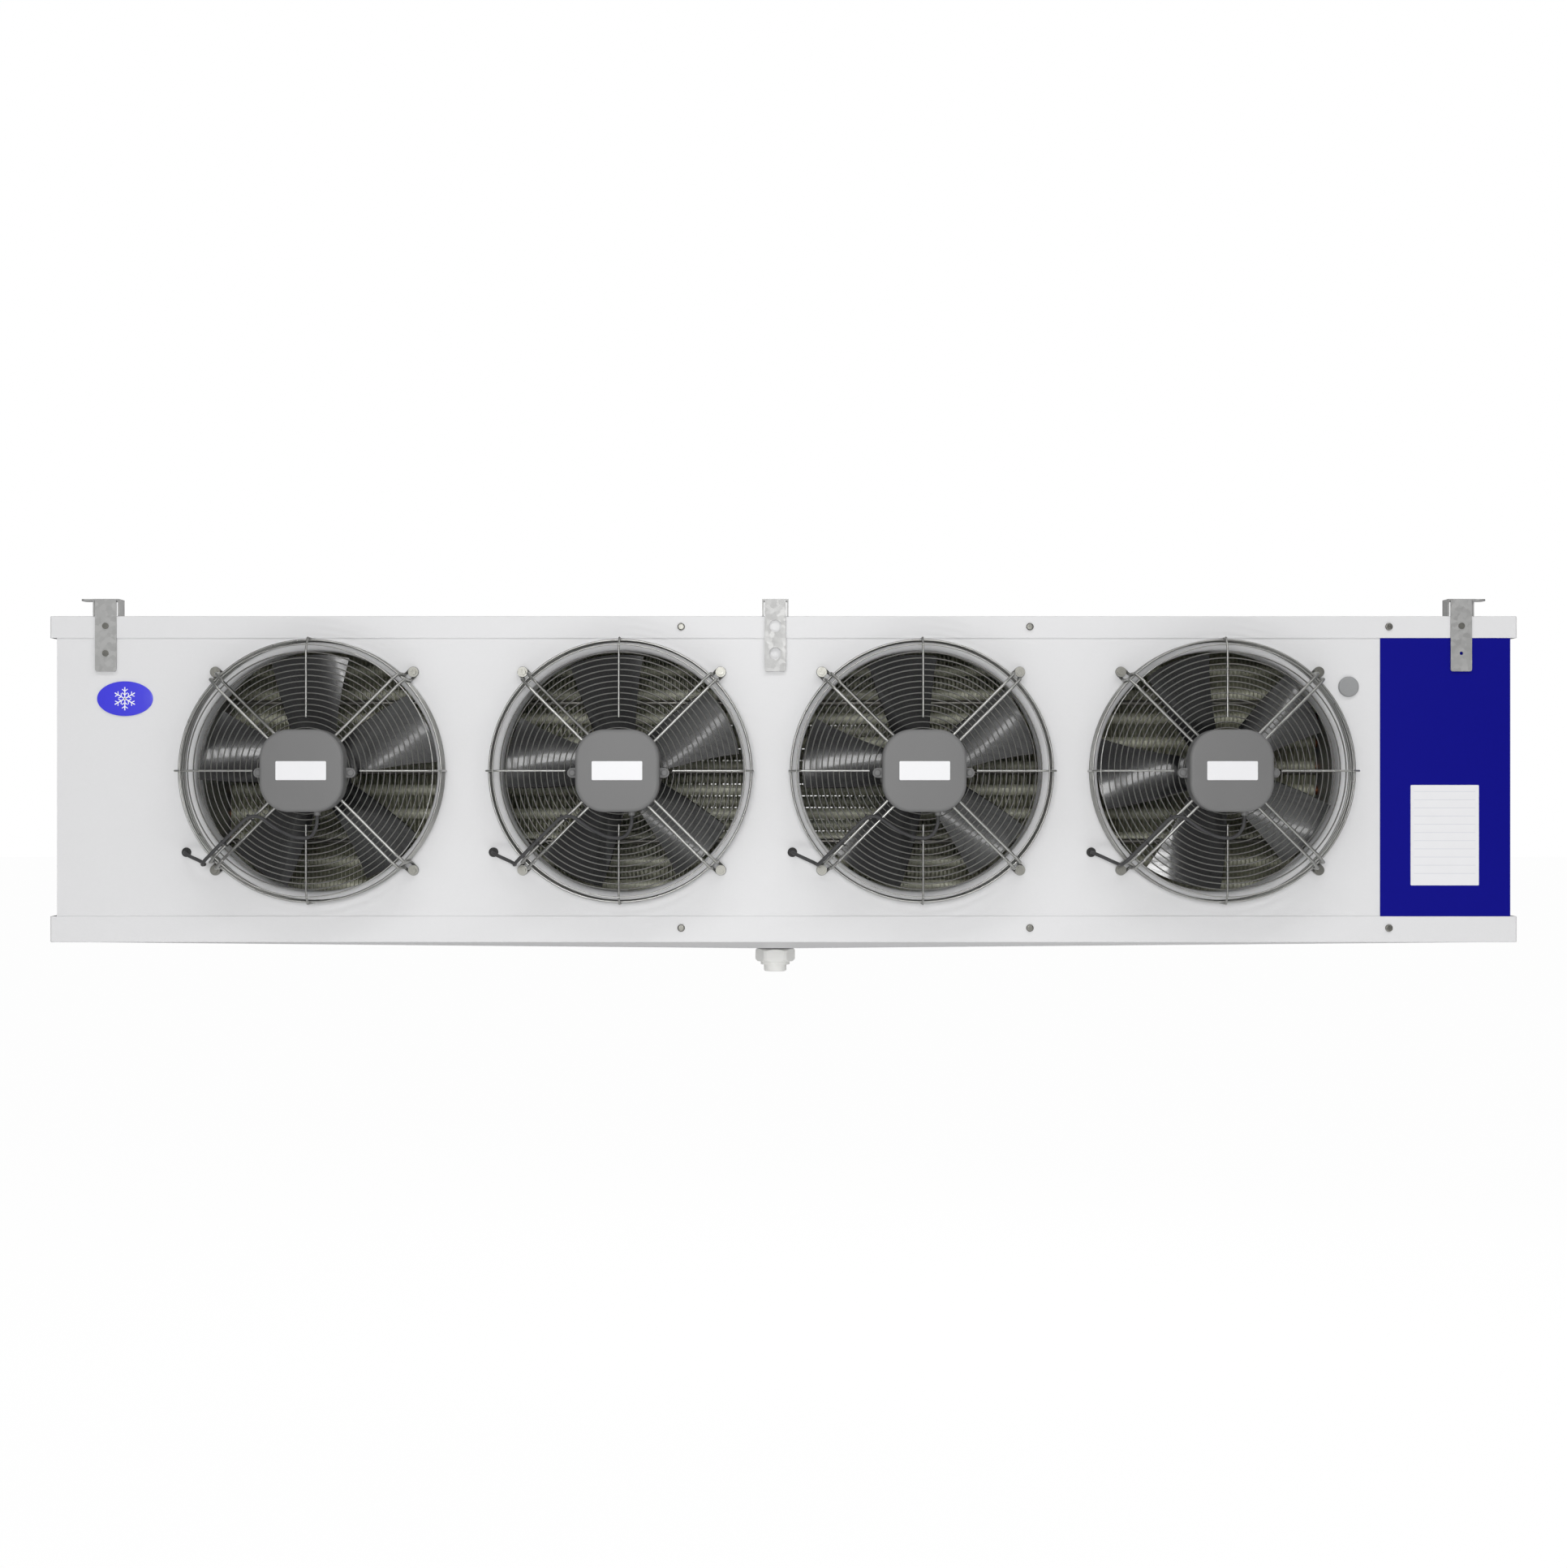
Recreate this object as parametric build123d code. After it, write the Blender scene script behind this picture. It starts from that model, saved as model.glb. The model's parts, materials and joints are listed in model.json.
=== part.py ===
from build123d import *
from math import cos, pi, radians, sin, sqrt, tan
import os

# Walk-in unit cooler. Four axial fans on the front of a ceiling-hung casing draw air through a
# finned coil at the back and blow it forward; a drip tray with one drain closes the bottom.
# Millimetres. +X is to the right as seen from the front, +Y to the back, +Z up.
# The origin is the centre of the end hangers' ceiling bolts, on the hangers' top faces.

# Clearances
sheet_gap = 0.2        # between two sheets that lie on each other
hole_gap = 0.25        # radial, of a screw or tube in its hole
wire_gap = 0.3         # between a wire or lead and what it lies on

# Casing
sheet = 1.2
casing_length = 2130.0
casing_depth = 430.0
casing_height = 478.0  # top of the cover to the bottom edge of the tray
rim_overhang = 10.0    # of cover and tray past the end panels
cover_lip = 32.0
tray_rim = 38.0
tray_fall = 22.0       # from the tray's rim to the drain
fold_radius = 3.0      # outside of a folded edge
flange = 18.0
rabbet_width = 26.0    # of the strip behind the service cover's inner edge
service_width = 190.5  # of the service compartment and its cover
end_bay = 178.0        # from the left end panel to the left tube sheet

# Ceiling hangers: one over each upper edge of the casing, at both ends and near the middle
hanger_height = 25.0
hanger_width = 38.7
hanger_sheet = 2.5
end_hanger_x = 992.5
middle_hanger_x = -12.0
bolt_spacing = 410.0   # from the front hangers' bolts to the back ones'
hanger_depth = 26.0    # over the cover, behind the tab
bolt_hole_r = 5.5
tab_width = 31.0
tab_drop = 81.0        # below the top of the cover
tab_hole_pitch = 40.0
tab_hole_drop = 14.6   # of the upper hole, below the top of the cover
middle_tab_hole_r = 8.7
end_tab_hole_r = 2.6
tab_screw_head = 2.0
tab_screw_rim = 2.2    # of its head past its shank
tab_screw_reach = 6.0  # into the casing
ear_reach = 18.0
ear_length = 24.0

# Fans
first_fan_x = -687.0
fan_pitches = (450.0, 438.0, 438.0)
fan_drop = 227.0       # of the fan axes, below the top of the cover
throat_r = 178.0
throat_round = 13.0
throat_depth = 50.0
tip_r = 173.0
hub_wall = 2.0
blade_count = 5
blade_wall = 2.4
blade_camber = 0.07    # height of a blade's curve, for each mm of chord
blade_sweep = 4.0      # forward turn of the tip, in degrees
blade_lean = 0.25      # drop of a blade's edges, for each mm from its middle
blade_spare = 14.0     # of the uncut blade past the tip circle
blade_back = 8.0       # from the front face of the casing to the blades' front edges
blade_depth = 44.0
hub_margin = 2.0       # of the hub past the blades
root_chord = 62.0
tip_chord = 124.0
root_stagger = 38.0
tip_stagger = 20.0
first_blade_angles = (97.0, 101.0, 101.0, 112.0)

# Motors: the fixed half carries the shaft's bearings, the rotor can turns round it
cap_width = 120.0
cap_height = 118.0
cap_corner = 42.0
cap_round = 5.0
cap_front = 93.0       # in front of the casing
cap_back = 62.6
cap_ear_x = 66.0
cap_ear_z = -3.0
cap_ear_r = 7.0
cap_ear = 8.0          # thickness of the cap's ears
cap_bolt_r = 2.4
lug_plate = 3.4        # of the stator's lugs under them
flange_front = 57.6    # in front of the casing
motor_flange = 8.0
motor_flange_r = 58.0
seat_r = 49.0          # raised seat of the cap on the motor's flange
rotor_r = 51.0
rotor_wall = 3.0
rotor_front = 44.0     # in front of the casing
rotor_back = 58.0      # behind the front of the casing
stack_r = 43.0
stack_length = 46.0
stack_inset = 8.0      # from the rotor can's open end
shaft_r = 6.0
shaft_gap = 0.02
shaft_stub = 2.0       # of the shaft in front of the first bearing
bearing_r = 14.0
bearing_width = 9.0
bearing_inset = 6.0    # from the rotor can's closed end
bearing_tube_r = 18.0

# Guards
wire_sides = 6
ring_wire_r = 1.2      # half the distance across the flats, as for the other wires
edge_wire_r = 1.5
spoke_r = 1.5
strut_r = 2.2
guard_r = 190.0
guard_front = 60.0     # strut wire centres in front of the casing
inner_ring_r = 62.0
outer_ring_r = 171.0
shoulder_ring_r = 182.0
face_ring_count = 14
side_ring_count = 4
strut_half = 6.0       # half the distance between a strut's two wires
strut_inner_r = 52.0
lug_r = 205.0          # of the lug screws
bend_r = 5.0
weld = 0.5             # how far crossing wires sink into each other

# Guard screws and washers
screw_r = 2.4
screw_length = 12.0
screw_head_r = 4.6
screw_head = 3.0
washer_r = 7.4
washer = 1.3
cross_recess = 1.4

# Motor leads
lead_r = 2.5
grommet_x = -188.0
grommet_z = -119.0
grommet_r = 7.0
grommet_neck_r = 5.0
grommet_lip = 2.0
gland_r = 4.5
gland_length = 8.0
lead_start_x = 20.0

# Coil
tube_r = 7.9
tube_pitch = 38.1
row_pitch = 33.0
tubes_high = 10
row_count = 4
coil_back_inset = 16.0
plate = 2.0            # tube sheets and bay partitions
fin_inset = 4.0        # from the tube sheets to the fin pack
stub = 16.0            # tube ends past the tube sheets
bend_tube_r = 8.6
header_r = 14.3
header_reach = 62.0    # from the right tube sheet to the header's axis
pipe_reach = 45.0      # of both pipes past the back of the casing
liquid_pipe_r = 6.35
feeder_r = 3.0
distributor_r = 15.0
distributor_length = 36.0
distributor_cone = 4.0  # height of its bevelled face
distributor_land = 10.0  # of its full width
feeder_bend = 7.0
feeder_dip = 40.0      # first feeder's run ahead of the distributor
feeder_step = 9.0      # from one feeder's run to the next
feeder_rise = 110.0    # first feeder's upper bend above the distributor
feeder_rise_step = 20.0
heater_r = 4.25
heater_stand = 9.0     # heater axis in front of the coil
heater_rise = 110.0    # heaters above and below the fan axes
partition_gap = 1.5

# Drain
drain_x = -13.0
drain_r = 17.5
drain_bore_r = 14.0
drain_length = 38.0    # below the tray
drain_flange_r = 29.0
drain_flange = 3.0
nut_flats = 56.0
nut_height = 20.0
nut_corner_r = 30.8    # of the turned round that bevels its corners
nut_bevel = 3.0
nut_collar = 5.0       # height and width of the collar below the hexagon
gasket = 2.0
seat_size = 76.0

# Small fittings on the casing
panel_screw_xs = (-150.0, 361.0, 887.0)
panel_screw_r = 5.5
panel_screw_dome = 2.4
panel_shank_r = 2.1
panel_shank = 9.0
lip_screw_drop = 15.5
rim_screw_drop = 457.0
plug_x = 828.0
plug_drop = 103.5
plug_r = 15.0
plug_neck_r = 12.5
plug_dome = 3.5
plug_reach = 10.0
plug_wall = 2.0
badge_x = -965.0
badge_drop = 121.0
badge_width = 82.0
badge_height = 51.0
badge_thickness = 1.6
badge_edge = 0.8       # radius of its front edge
end_badge_drop = 251.0
end_badge_width = 130.0
end_badge_height = 83.0
end_badge_reach = 6.5
end_badge_edge = 5.0
plate_label_width = 100.0
plate_label_height = 147.0
plate_label_drop = 321.0
plate_label_shift = -1.0
label = 0.5
label_corner = 1.5
cap_label_width = 72.0
cap_label_height = 27.0
box_width = 96.0
box_depth = 110.0
box_height = 130.0
box_wall = 3.0
box_drop = 180.0
cable_r = 6.0
cable_gland_r = 11.0
cable_gland_reach = 18.0
cable_gland_wall = 3.0  # of its lock nut past its neck
cable_gland_neck = 6.0  # inside the end panel
cable_gland_lock = 5.0  # thickness of the lock nut

# Places that follow
front = -casing_depth / 2
back = casing_depth / 2
half_length = casing_length / 2
rim_half = half_length + rim_overhang
top = -hanger_height
bottom = top - casing_height
rim_top = bottom + tray_rim
fan_z = top - fan_drop
fan_xs = [first_fan_x + sum(fan_pitches[:k]) for k in range(len(fan_pitches) + 1)]
service_x = half_length - service_width
left_sheet_x = -half_length + end_bay
right_sheet_x = service_x - flange - plate - sheet_gap
panel_top = top - sheet - sheet_gap
panel_bottom = bottom + sheet + sheet_gap
coil_height = (tubes_high + 0.5) * tube_pitch
coil_depth = row_count * row_pitch
coil_back = back - coil_back_inset
coil_front = coil_back - coil_depth
heater_y = coil_front - heater_stand
heater_zs = (fan_z - heater_rise, fan_z, fan_z + heater_rise)
seat_z = bottom - tray_fall
hub_r = rotor_r + sheet_gap
hub_outer_r = hub_r + hub_wall


def block(xs, ys, zs):
    """A box between two planes on each axis."""
    size = Box(xs[1] - xs[0], ys[1] - ys[0], zs[1] - zs[0])
    return Pos((xs[0] + xs[1]) / 2, (ys[0] + ys[1]) / 2, (zs[0] + zs[1]) / 2) * size


def rod_x(radius, xs, y, z):
    """A cylinder along X."""
    return Pos((xs[0] + xs[1]) / 2, y, z) * Rot(0, 90, 0) * Cylinder(radius, xs[1] - xs[0])


def rod_y(radius, x, ys, z):
    """A cylinder along Y."""
    return Pos(x, (ys[0] + ys[1]) / 2, z) * Rot(90, 0, 0) * Cylinder(radius, ys[1] - ys[0])


def rod_z(radius, x, y, zs):
    """A cylinder along Z."""
    return Pos(x, y, (zs[0] + zs[1]) / 2) * Cylinder(radius, zs[1] - zs[0])


def join(shapes):
    """One solid made of shapes that meet."""
    shapes = list(shapes)
    return shapes[0].fuse(*shapes[1:])


def cut(shape, tools):
    """Shape with every tool taken out of it."""
    return shape.cut(*[solid for tool in tools for solid in tool.solids()])


def group(shapes):
    """Separate solids kept in one node."""
    return Compound(children=[solid for shape in shapes for solid in shape.solids()])


def wire_through(points, bend):
    """Straight runs joined by tangent arcs; bend is one radius, or one for each corner."""
    path = FilletPolyline(*[Vector(*p) for p in points], radius=bend)
    return Wire(path.edges())


def rope(path, radius):
    """A round bar that follows a wire."""
    section = Plane(origin=path @ 0, z_dir=path % 0) * Circle(radius)
    return sweep(section, path=path).solid()


def turned(profile, x, z):
    """A closed profile of (radius, y) points revolved round a fan's axis."""
    face = make_face(Polyline(*[(x + r, y, z) for r, y in profile], close=True))
    return revolve(face, Axis((x, 0, z), (0, 1, 0)))


def rounded_plate(width, height, corner, thickness):
    """A plate with round corners that faces -Y, its back at the origin."""
    outline = Plane.XZ * RectangleRounded(width, height, corner)
    return extrude(outline, thickness)


# Casing

def front_panel():
    """Flat front with a pressed throat for each fan and folded top, bottom and right edges."""
    right = service_x - sheet_gap
    inner = front + sheet
    fold = (inner, inner + flange)
    full = (panel_bottom, panel_top)
    faces = [block((-half_length, right), (front, inner), full)]
    for zs in ((panel_top - sheet, panel_top), (panel_bottom, panel_bottom + sheet)):
        faces.append(block((-half_length + flange + sheet_gap, right), fold, zs))
    faces.append(block((right - sheet, right), fold, full))
    rabbet = (inner + sheet_gap, inner + sheet_gap + sheet)
    faces.append(block((right - sheet, service_x + rabbet_width), rabbet, full))
    panel = cut(join(faces), [rod_y(throat_r + throat_round, x, (front - 1, inner + 1), fan_z)
                              for x in fan_xs])
    bell = throat()
    panel = join([panel] + [Pos(x, 0, 0) * bell for x in fan_xs])
    return cut(panel, front_panel_holes())


def throat():
    """Bell mouth rolled back from the front face into a short straight duct."""
    centre = (throat_r + throat_round, front + throat_round)
    rim = throat_r + throat_round
    outer = [(rim - throat_round * sin(a), front + throat_round * (1 - cos(a)))
             for a in (0, pi / 4, pi / 2)]
    small = throat_round - sheet
    inner = [(centre[0] - small * sin(a), centre[1] - small * cos(a)) for a in (pi / 2, pi / 4, 0)]

    def at(p):
        return Vector(p[0], p[1], fan_z)

    end = front + throat_depth
    edges = [
        ThreePointArc(at(outer[0]), at(outer[1]), at(outer[2])),
        Line(at(outer[2]), at((throat_r, end))),
        Line(at((throat_r, end)), at((throat_r + sheet, end))),
        Line(at((throat_r + sheet, end)), at(inner[0])),
        ThreePointArc(at(inner[0]), at(inner[1]), at(inner[2])),
        Line(at(inner[2]), at((rim + sheet, front + sheet))),
        Line(at((rim + sheet, front + sheet)), at((rim + sheet, front))),
        Line(at((rim + sheet, front)), at(outer[0])),
    ]
    face = make_face(Wire([edge for line in edges for edge in line.edges()]))
    return revolve(face, Axis((0, 0, fan_z), (0, 1, 0)))


def front_panel_holes():
    through = (front - 1, front + 3 * sheet)
    holes = [rod_y(plug_neck_r + hole_gap, plug_x, through, top - plug_drop)]
    for x in fan_xs:
        holes.append(rod_y(grommet_neck_r + hole_gap, x + grommet_x, through, fan_z + grommet_z))
        holes += [rod_y(screw_r + hole_gap, x + px, through, fan_z + pz) for px, pz in lug_places()]
    for x in panel_screw_xs:
        for z in (top - lip_screw_drop, top - rim_screw_drop):
            holes.append(rod_y(panel_shank_r + hole_gap, x, through, z))
    holes += [rod_y(tab_screw_r() + hole_gap, -end_hanger_x, through, z) for z in tab_hole_zs()]
    return holes


def lug_places():
    """Places of the four lug screws round a fan's axis."""
    reach = lug_r / sqrt(2)
    return [(sx * reach, sz * reach) for sx in (-1, 1) for sz in (-1, 1)]


def top_cover():
    """Flat lid with a lip folded down all round."""
    out = sheet + sheet_gap
    lid = block((-rim_half, rim_half), (front - out, back + out), (top - cover_lip, top))
    lid = fillet(lid.edges().filter_by(Axis.Z), fold_radius)
    lid = fillet(lid.faces().sort_by(Axis.Z)[-1].edges(), fold_radius / 2)
    hollow = block((-rim_half + sheet, rim_half - sheet), (front - sheet_gap, back + sheet_gap),
                   (top - cover_lip - 1, top - sheet))
    return cut(lid - hollow, cover_holes())


def cover_holes():
    lip = (front - sheet - sheet_gap - 1, front)
    holes = [rod_y(panel_shank_r + hole_gap, x, lip, top - lip_screw_drop) for x in panel_screw_xs]
    for x in (-end_hanger_x, end_hanger_x):
        holes.append(rod_y(tab_screw_r() + hole_gap, x, lip, tab_hole_zs()[0]))
        back_lip = (back, back + sheet + sheet_gap + 1)
        holes.append(rod_y(tab_screw_r() + hole_gap, x, back_lip, tab_hole_zs()[0]))
    return holes


def drip_tray():
    """Shallow pyramid that falls to the drain, with an upright rim all round."""
    out = sheet + sheet_gap
    ys = (front - out, back + out)
    rim = block((-rim_half, rim_half), ys, (bottom, rim_top))
    rim = fillet(rim.edges().filter_by(Axis.Z), fold_radius)
    rim = fillet(rim.faces().sort_by(Axis.Z)[0].edges(), fold_radius / 2)
    hollow = block((-rim_half + sheet, rim_half - sheet), (ys[0] + sheet, ys[1] - sheet),
                   (bottom + sheet, rim_top + 1))
    margin = 2 * fold_radius
    outside = tray_funnel(rim_half - margin, back - margin, bottom, seat_z)
    inside = tray_funnel(rim_half - margin - sheet, back - margin - sheet, bottom + sheet,
                         seat_z + sheet)
    tray = (rim - hollow).fuse(outside)
    tray = cut(tray, [inside])
    holes = [rod_z(drain_r + hole_gap, drain_x, 0, (seat_z - 1, seat_z + sheet + 1))]
    wall = (front - out - 1, front)
    holes += [rod_y(panel_shank_r + hole_gap, x, wall, top - rim_screw_drop) for x in panel_screw_xs]
    return cut(tray, holes)


def tray_funnel(half_x, half_y, z_high, z_low):
    """Solid with a wide flat top and four faces that slope to the drain's flat seat."""
    wide = Plane.XY.offset(z_high) * Rectangle(2 * half_x, 2 * half_y)
    seat = Plane.XY.offset(z_low) * Pos(drain_x, 0) * Rectangle(seat_size, seat_size)
    return loft([wide.face(), seat.face()], ruled=True)


def end_panel(side):
    """Side wall with a front flange and a back leaf that closes the end compartment."""
    outer, inner = side * half_length, side * (half_length - sheet)
    low, high = panel_bottom, panel_top
    near = front + sheet + sheet_gap
    tube_sheet = left_sheet_x if side < 0 else right_sheet_x + plate
    leaf_end = tube_sheet + side * sheet_gap
    walls = [
        block(sorted((outer, inner)), (near, back), (low, high)),
        block(sorted((inner, side * (half_length - flange))), (near, near + sheet), (low, high)),
        block(sorted((inner, leaf_end)), (back - sheet, back), (low, high)),
    ]
    panel = join(walls)
    holes = [rod_y(tab_screw_r() + hole_gap, side * end_hanger_x, (back - sheet - 1, back + 1), z)
             for z in tab_hole_zs()]
    if side > 0:
        leaf = (back - sheet - 1, back + 1)
        holes.append(rod_y(header_r + 1, header_x(), leaf, header_z()))
        holes.append(rod_y(liquid_pipe_r + 1, header_x(), leaf, liquid_z()))
        holes.append(rod_y(cable_gland_neck_r() + hole_gap, gland_x(), leaf, gland_z()))
    return cut(panel, holes)


def service_cover():
    """Removable front of the service compartment: a skin with a hemmed edge all round."""
    xs = (service_x, half_length)
    zs = (rim_top + sheet_gap, top - cover_lip - sheet_gap)
    skin = block(xs, (front - sheet, front), zs)
    skin = fillet(skin.edges().filter_by(Axis.Y), fold_radius / 2)
    hem = block((xs[0] + sheet_gap, xs[1] - sheet_gap), (front, front + sheet), zs)
    inside = block((xs[0] + flange, xs[1] - flange), (front, front + sheet),
                   (zs[0] + flange, zs[1] - flange))
    return skin.fuse(hem - inside)


def tab_hole_zs():
    return (top - tab_hole_drop, top - tab_hole_drop - tab_hole_pitch)


def tab_screw_r():
    return end_tab_hole_r - hole_gap


def hanger(x, side, ear_side=0):
    """Channel on the cover whose web folds down in a tab; side is -1 at the front, 1 at the back."""
    stack = sheet + sheet_gap + wire_gap
    face = side * (back + stack)
    outside = face + side * hanger_sheet
    inside = face - side * hanger_depth
    half = hanger_width / 2
    parts = [block((x - half, x + half), sorted((outside, inside)), (-hanger_sheet, 0))]
    for edge in (-1, 1):
        wall = sorted((x + edge * half, x + edge * (half - hanger_sheet)))
        parts.append(block(wall, sorted((face, inside)), (top + sheet_gap, 0)))
    tab = block((x - tab_width / 2, x + tab_width / 2), sorted((face, outside)),
                (top - tab_drop, 0))
    parts.append(fillet(tab.edges().filter_by(Axis.Y).group_by(Axis.Z)[0], fold_radius))
    if ear_side:
        parts.append(ear(x, ear_side, face))
    hole_r = end_tab_hole_r if abs(x) == end_hanger_x else middle_tab_hole_r
    through = sorted((face - side, outside + side))
    holes = [rod_y(hole_r, x, through, z) for z in tab_hole_zs()]
    holes.append(rod_z(bolt_hole_r, x, side * bolt_spacing / 2, (-hanger_sheet - 1, 1)))
    return cut(join(parts), holes)


def ear(x, side, face):
    """Lug bent outward from a front hanger's web, for a sway brace."""
    half = hanger_width / 2
    reach = sorted((x + side * (half - hanger_sheet), x + side * (half + ear_reach)))
    lug = block(reach, (face, face + ear_length), (-hanger_sheet, 0))
    tips = lug.edges().filter_by(Axis.Z).sort_by(Axis.X)
    return fillet(tips[-2:] if side > 0 else tips[:2], ear_reach / 3)


# Guards

# Every piece of a fan is made round the axis at X = 0 and moved to its fan at the end.

def polar(radius, across, ahead, angle):
    """Point at a radius along a spoke's angle, shifted across it, ahead of the front face."""
    return (cos(angle) * radius - sin(angle) * across, front - ahead,
            fan_z + sin(angle) * radius + cos(angle) * across)


def flat_sided(place, across, along, radius):
    """Section of a guard's wire: two of its sides are square to the fan's axis."""
    frame = Plane(origin=place, x_dir=across, z_dir=along)
    return frame * RegularPolygon(radius, wire_sides, major_radius=False)


def guard_ring(radius, ahead, wire):
    depth = front - ahead
    section = flat_sided((radius, depth, fan_z), (1, 0, 0), (0, 0, 1), wire)
    return revolve(section, Axis((0, depth, fan_z), (0, 1, 0)))


def guard_wire(path, radius):
    """Flat-sided wire that starts out square to the fan's axis."""
    along = path % 0
    section = flat_sided(path @ 0, (-along.Z, 0, along.X), along, radius)
    return sweep(section, path=path).solid()


def guard_rings():
    """Rings of the flat face, one on its shoulder and a stack down the side."""
    face_ahead = guard_front - strut_r - ring_wire_r + weld
    step = (outer_ring_r - inner_ring_r) / (face_ring_count - 1)
    rings = [guard_ring(inner_ring_r + k * step, face_ahead, ring_wire_r)
             for k in range(face_ring_count)]
    rings.append(guard_ring(shoulder_ring_r, face_ahead - weld, ring_wire_r))
    side_step = (face_ahead - 3 * bend_r) / side_ring_count
    rings += [guard_ring(guard_r, edge_wire_r + wire_gap + k * side_step, edge_wire_r)
              for k in range(side_ring_count)]
    return rings


def side_wire_r(wire):
    """Radius at which an upright wire's axis runs down the side rings."""
    return guard_r + edge_wire_r + wire - weld


def guard_spoke(angle):
    """Single wire from the third ring over the shoulder and down the side."""
    side = side_wire_r(spoke_r)
    ahead = guard_front - strut_r + spoke_r
    start = inner_ring_r + 2 * (outer_ring_r - inner_ring_r) / (face_ring_count - 1) - spoke_r
    profile = ((start, ahead), (outer_ring_r + bend_r, ahead),
               (side, ahead - 2 * bend_r), (side, edge_wire_r + wire_gap))
    points = [polar(r, 0, y, angle) for r, y in profile]
    return guard_wire(wire_through(points, bend_r), spoke_r)


def guard_strut(angle):
    """Hairpin from the motor over the shoulder and down to a lug that lies on the casing."""
    side = side_wire_r(strut_r)
    foot = strut_r + wire_gap
    profile = ((strut_inner_r, guard_front), (outer_ring_r + bend_r, guard_front),
               (side, guard_front - 2 * bend_r), (side, foot), (lug_r, foot))
    out = wire_through([polar(r, strut_half, y, angle) for r, y in profile], bend_r)
    home = wire_through([polar(r, -strut_half, y, angle) for r, y in reversed(profile)], bend_r)
    ends = [polar(lug_r + extra, across, foot, angle)
            for extra, across in ((0, strut_half), (strut_half, 0), (0, -strut_half))]
    loop = ThreePointArc(*[Vector(*p) for p in ends])
    return guard_wire(Wire([*out.edges(), *loop.edges(), *home.edges()]), strut_r)


def guard():
    """Welded wire basket in front of a fan, which carries the motor."""
    spokes = [guard_spoke(k * pi / 2) for k in range(4)]
    struts = [guard_strut(pi / 4 + k * pi / 2) for k in range(4)]
    return join(guard_rings() + spokes + struts)


def guard_screw():
    """Washer-head screw through a lug into the front panel."""
    seat = front - wire_gap - 2 * strut_r - sheet_gap
    head = seat - washer
    parts = [
        rod_y(washer_r, 0, (head, seat), fan_z),
        rod_y(screw_head_r, 0, (head - screw_head, head), fan_z),
        rod_y(screw_r, 0, (seat, front + screw_length), fan_z),
    ]
    return cross(join(parts), 0, head - screw_head, fan_z, screw_head_r)


def cross(screw, x, y, z, radius):
    """Screw with a cross recess in its head."""
    half = cross_recess / 2
    depth = (y - 1, y + cross_recess)
    reach = radius * 0.6
    slots = [block((x - reach, x + reach), depth, (z - half, z + half)),
             block((x - half, x + half), depth, (z - reach, z + reach))]
    return cut(screw, slots)


def guard_screws():
    screw = guard_screw()
    return group(Pos(x + px, 0, pz) * screw for x in fan_xs for px, pz in lug_places())


# Motors and impellers

def motor_cap():
    """Square-shouldered cover of the motor's front, with an ear and a screw on each side."""
    y_back = front - cap_back
    depth = cap_front - cap_back
    body = Pos(0, y_back, fan_z) * rounded_plate(cap_width, cap_height, cap_corner, depth)
    body = fillet(body.faces().sort_by(Axis.Y)[0].edges(), cap_round)
    wall = rotor_wall
    room = (Pos(0, y_back + 1, fan_z)
            * rounded_plate(cap_width - 2 * wall, cap_height - 2 * wall, cap_corner - wall,
                            depth - wall + 1))
    ear_ys = (front - cap_back - cap_ear, front - cap_back)
    ears = [cap_side_ear(side, ear_ys) for side in (-1, 1)]
    gland = rod_z(gland_r, lead_start_x, lead_y(), (gland_bottom(), gland_bottom() + gland_length))
    shell = body.fuse(*ears, gland)
    holes = [room, rod_z(lead_r + wire_gap, lead_start_x, lead_y(),
                         (gland_bottom() - 1, gland_bottom() + gland_length + 1))]
    return cut(shell, holes)


def cap_side_ear(side, ys):
    """Round ear beside the cap, with a web to its wall and a domed screw."""
    z = fan_z + cap_ear_z
    web = block(sorted((side * (cap_width / 2 - rotor_wall / 2), side * cap_ear_x)), ys,
                (z - cap_ear_r, z + cap_ear_r))
    boss = rod_y(cap_ear_r, side * cap_ear_x, ys, z)
    head = rod_y(cap_ear_r - 2, side * cap_ear_x, (ys[0] - cap_bolt_r, ys[0]), z)
    return web.fuse(boss, fillet(head.edges().sort_by(Axis.Y)[0], cap_bolt_r * 0.8))


def lead_y():
    """Height of the cap gland's axis in front of the casing, as a place on Y."""
    return front - (cap_front + cap_back) / 2


def gland_bottom():
    return fan_z - cap_height / 2 - gland_length + rotor_wall


def stator():
    """Fixed half of the motor: flange with a seat for the cap, bearing tube and wound stack."""
    seat_face = front - cap_back + sheet_gap
    flange_face = front - flange_front
    flange_rear = flange_face + motor_flange
    tube_end = bearing_ys()[1] + bearing_width
    stack_start = front - rotor_front + stack_inset
    profile = [
        (0, seat_face), (seat_r, seat_face), (seat_r, flange_face), (motor_flange_r, flange_face),
        (motor_flange_r, flange_rear), (bearing_tube_r, flange_rear), (bearing_tube_r, stack_start),
        (stack_r, stack_start), (stack_r, stack_start + stack_length),
        (bearing_tube_r, stack_start + stack_length), (bearing_tube_r, tube_end),
        (bearing_r, tube_end), (bearing_r, flange_face), (0, flange_face),
    ]
    lugs = []
    lug_ys = (seat_face, seat_face + lug_plate)
    z = fan_z + cap_ear_z
    for side in (-1, 1):
        lug_x = side * cap_ear_x
        lugs.append(rod_y(cap_ear_r, lug_x, lug_ys, z))
        lugs.append(block(sorted((side * (seat_r - lug_plate), lug_x)), lug_ys,
                          (z - cap_ear_r, z + cap_ear_r)))
    return turned(profile, 0, fan_z).fuse(*lugs)


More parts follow.
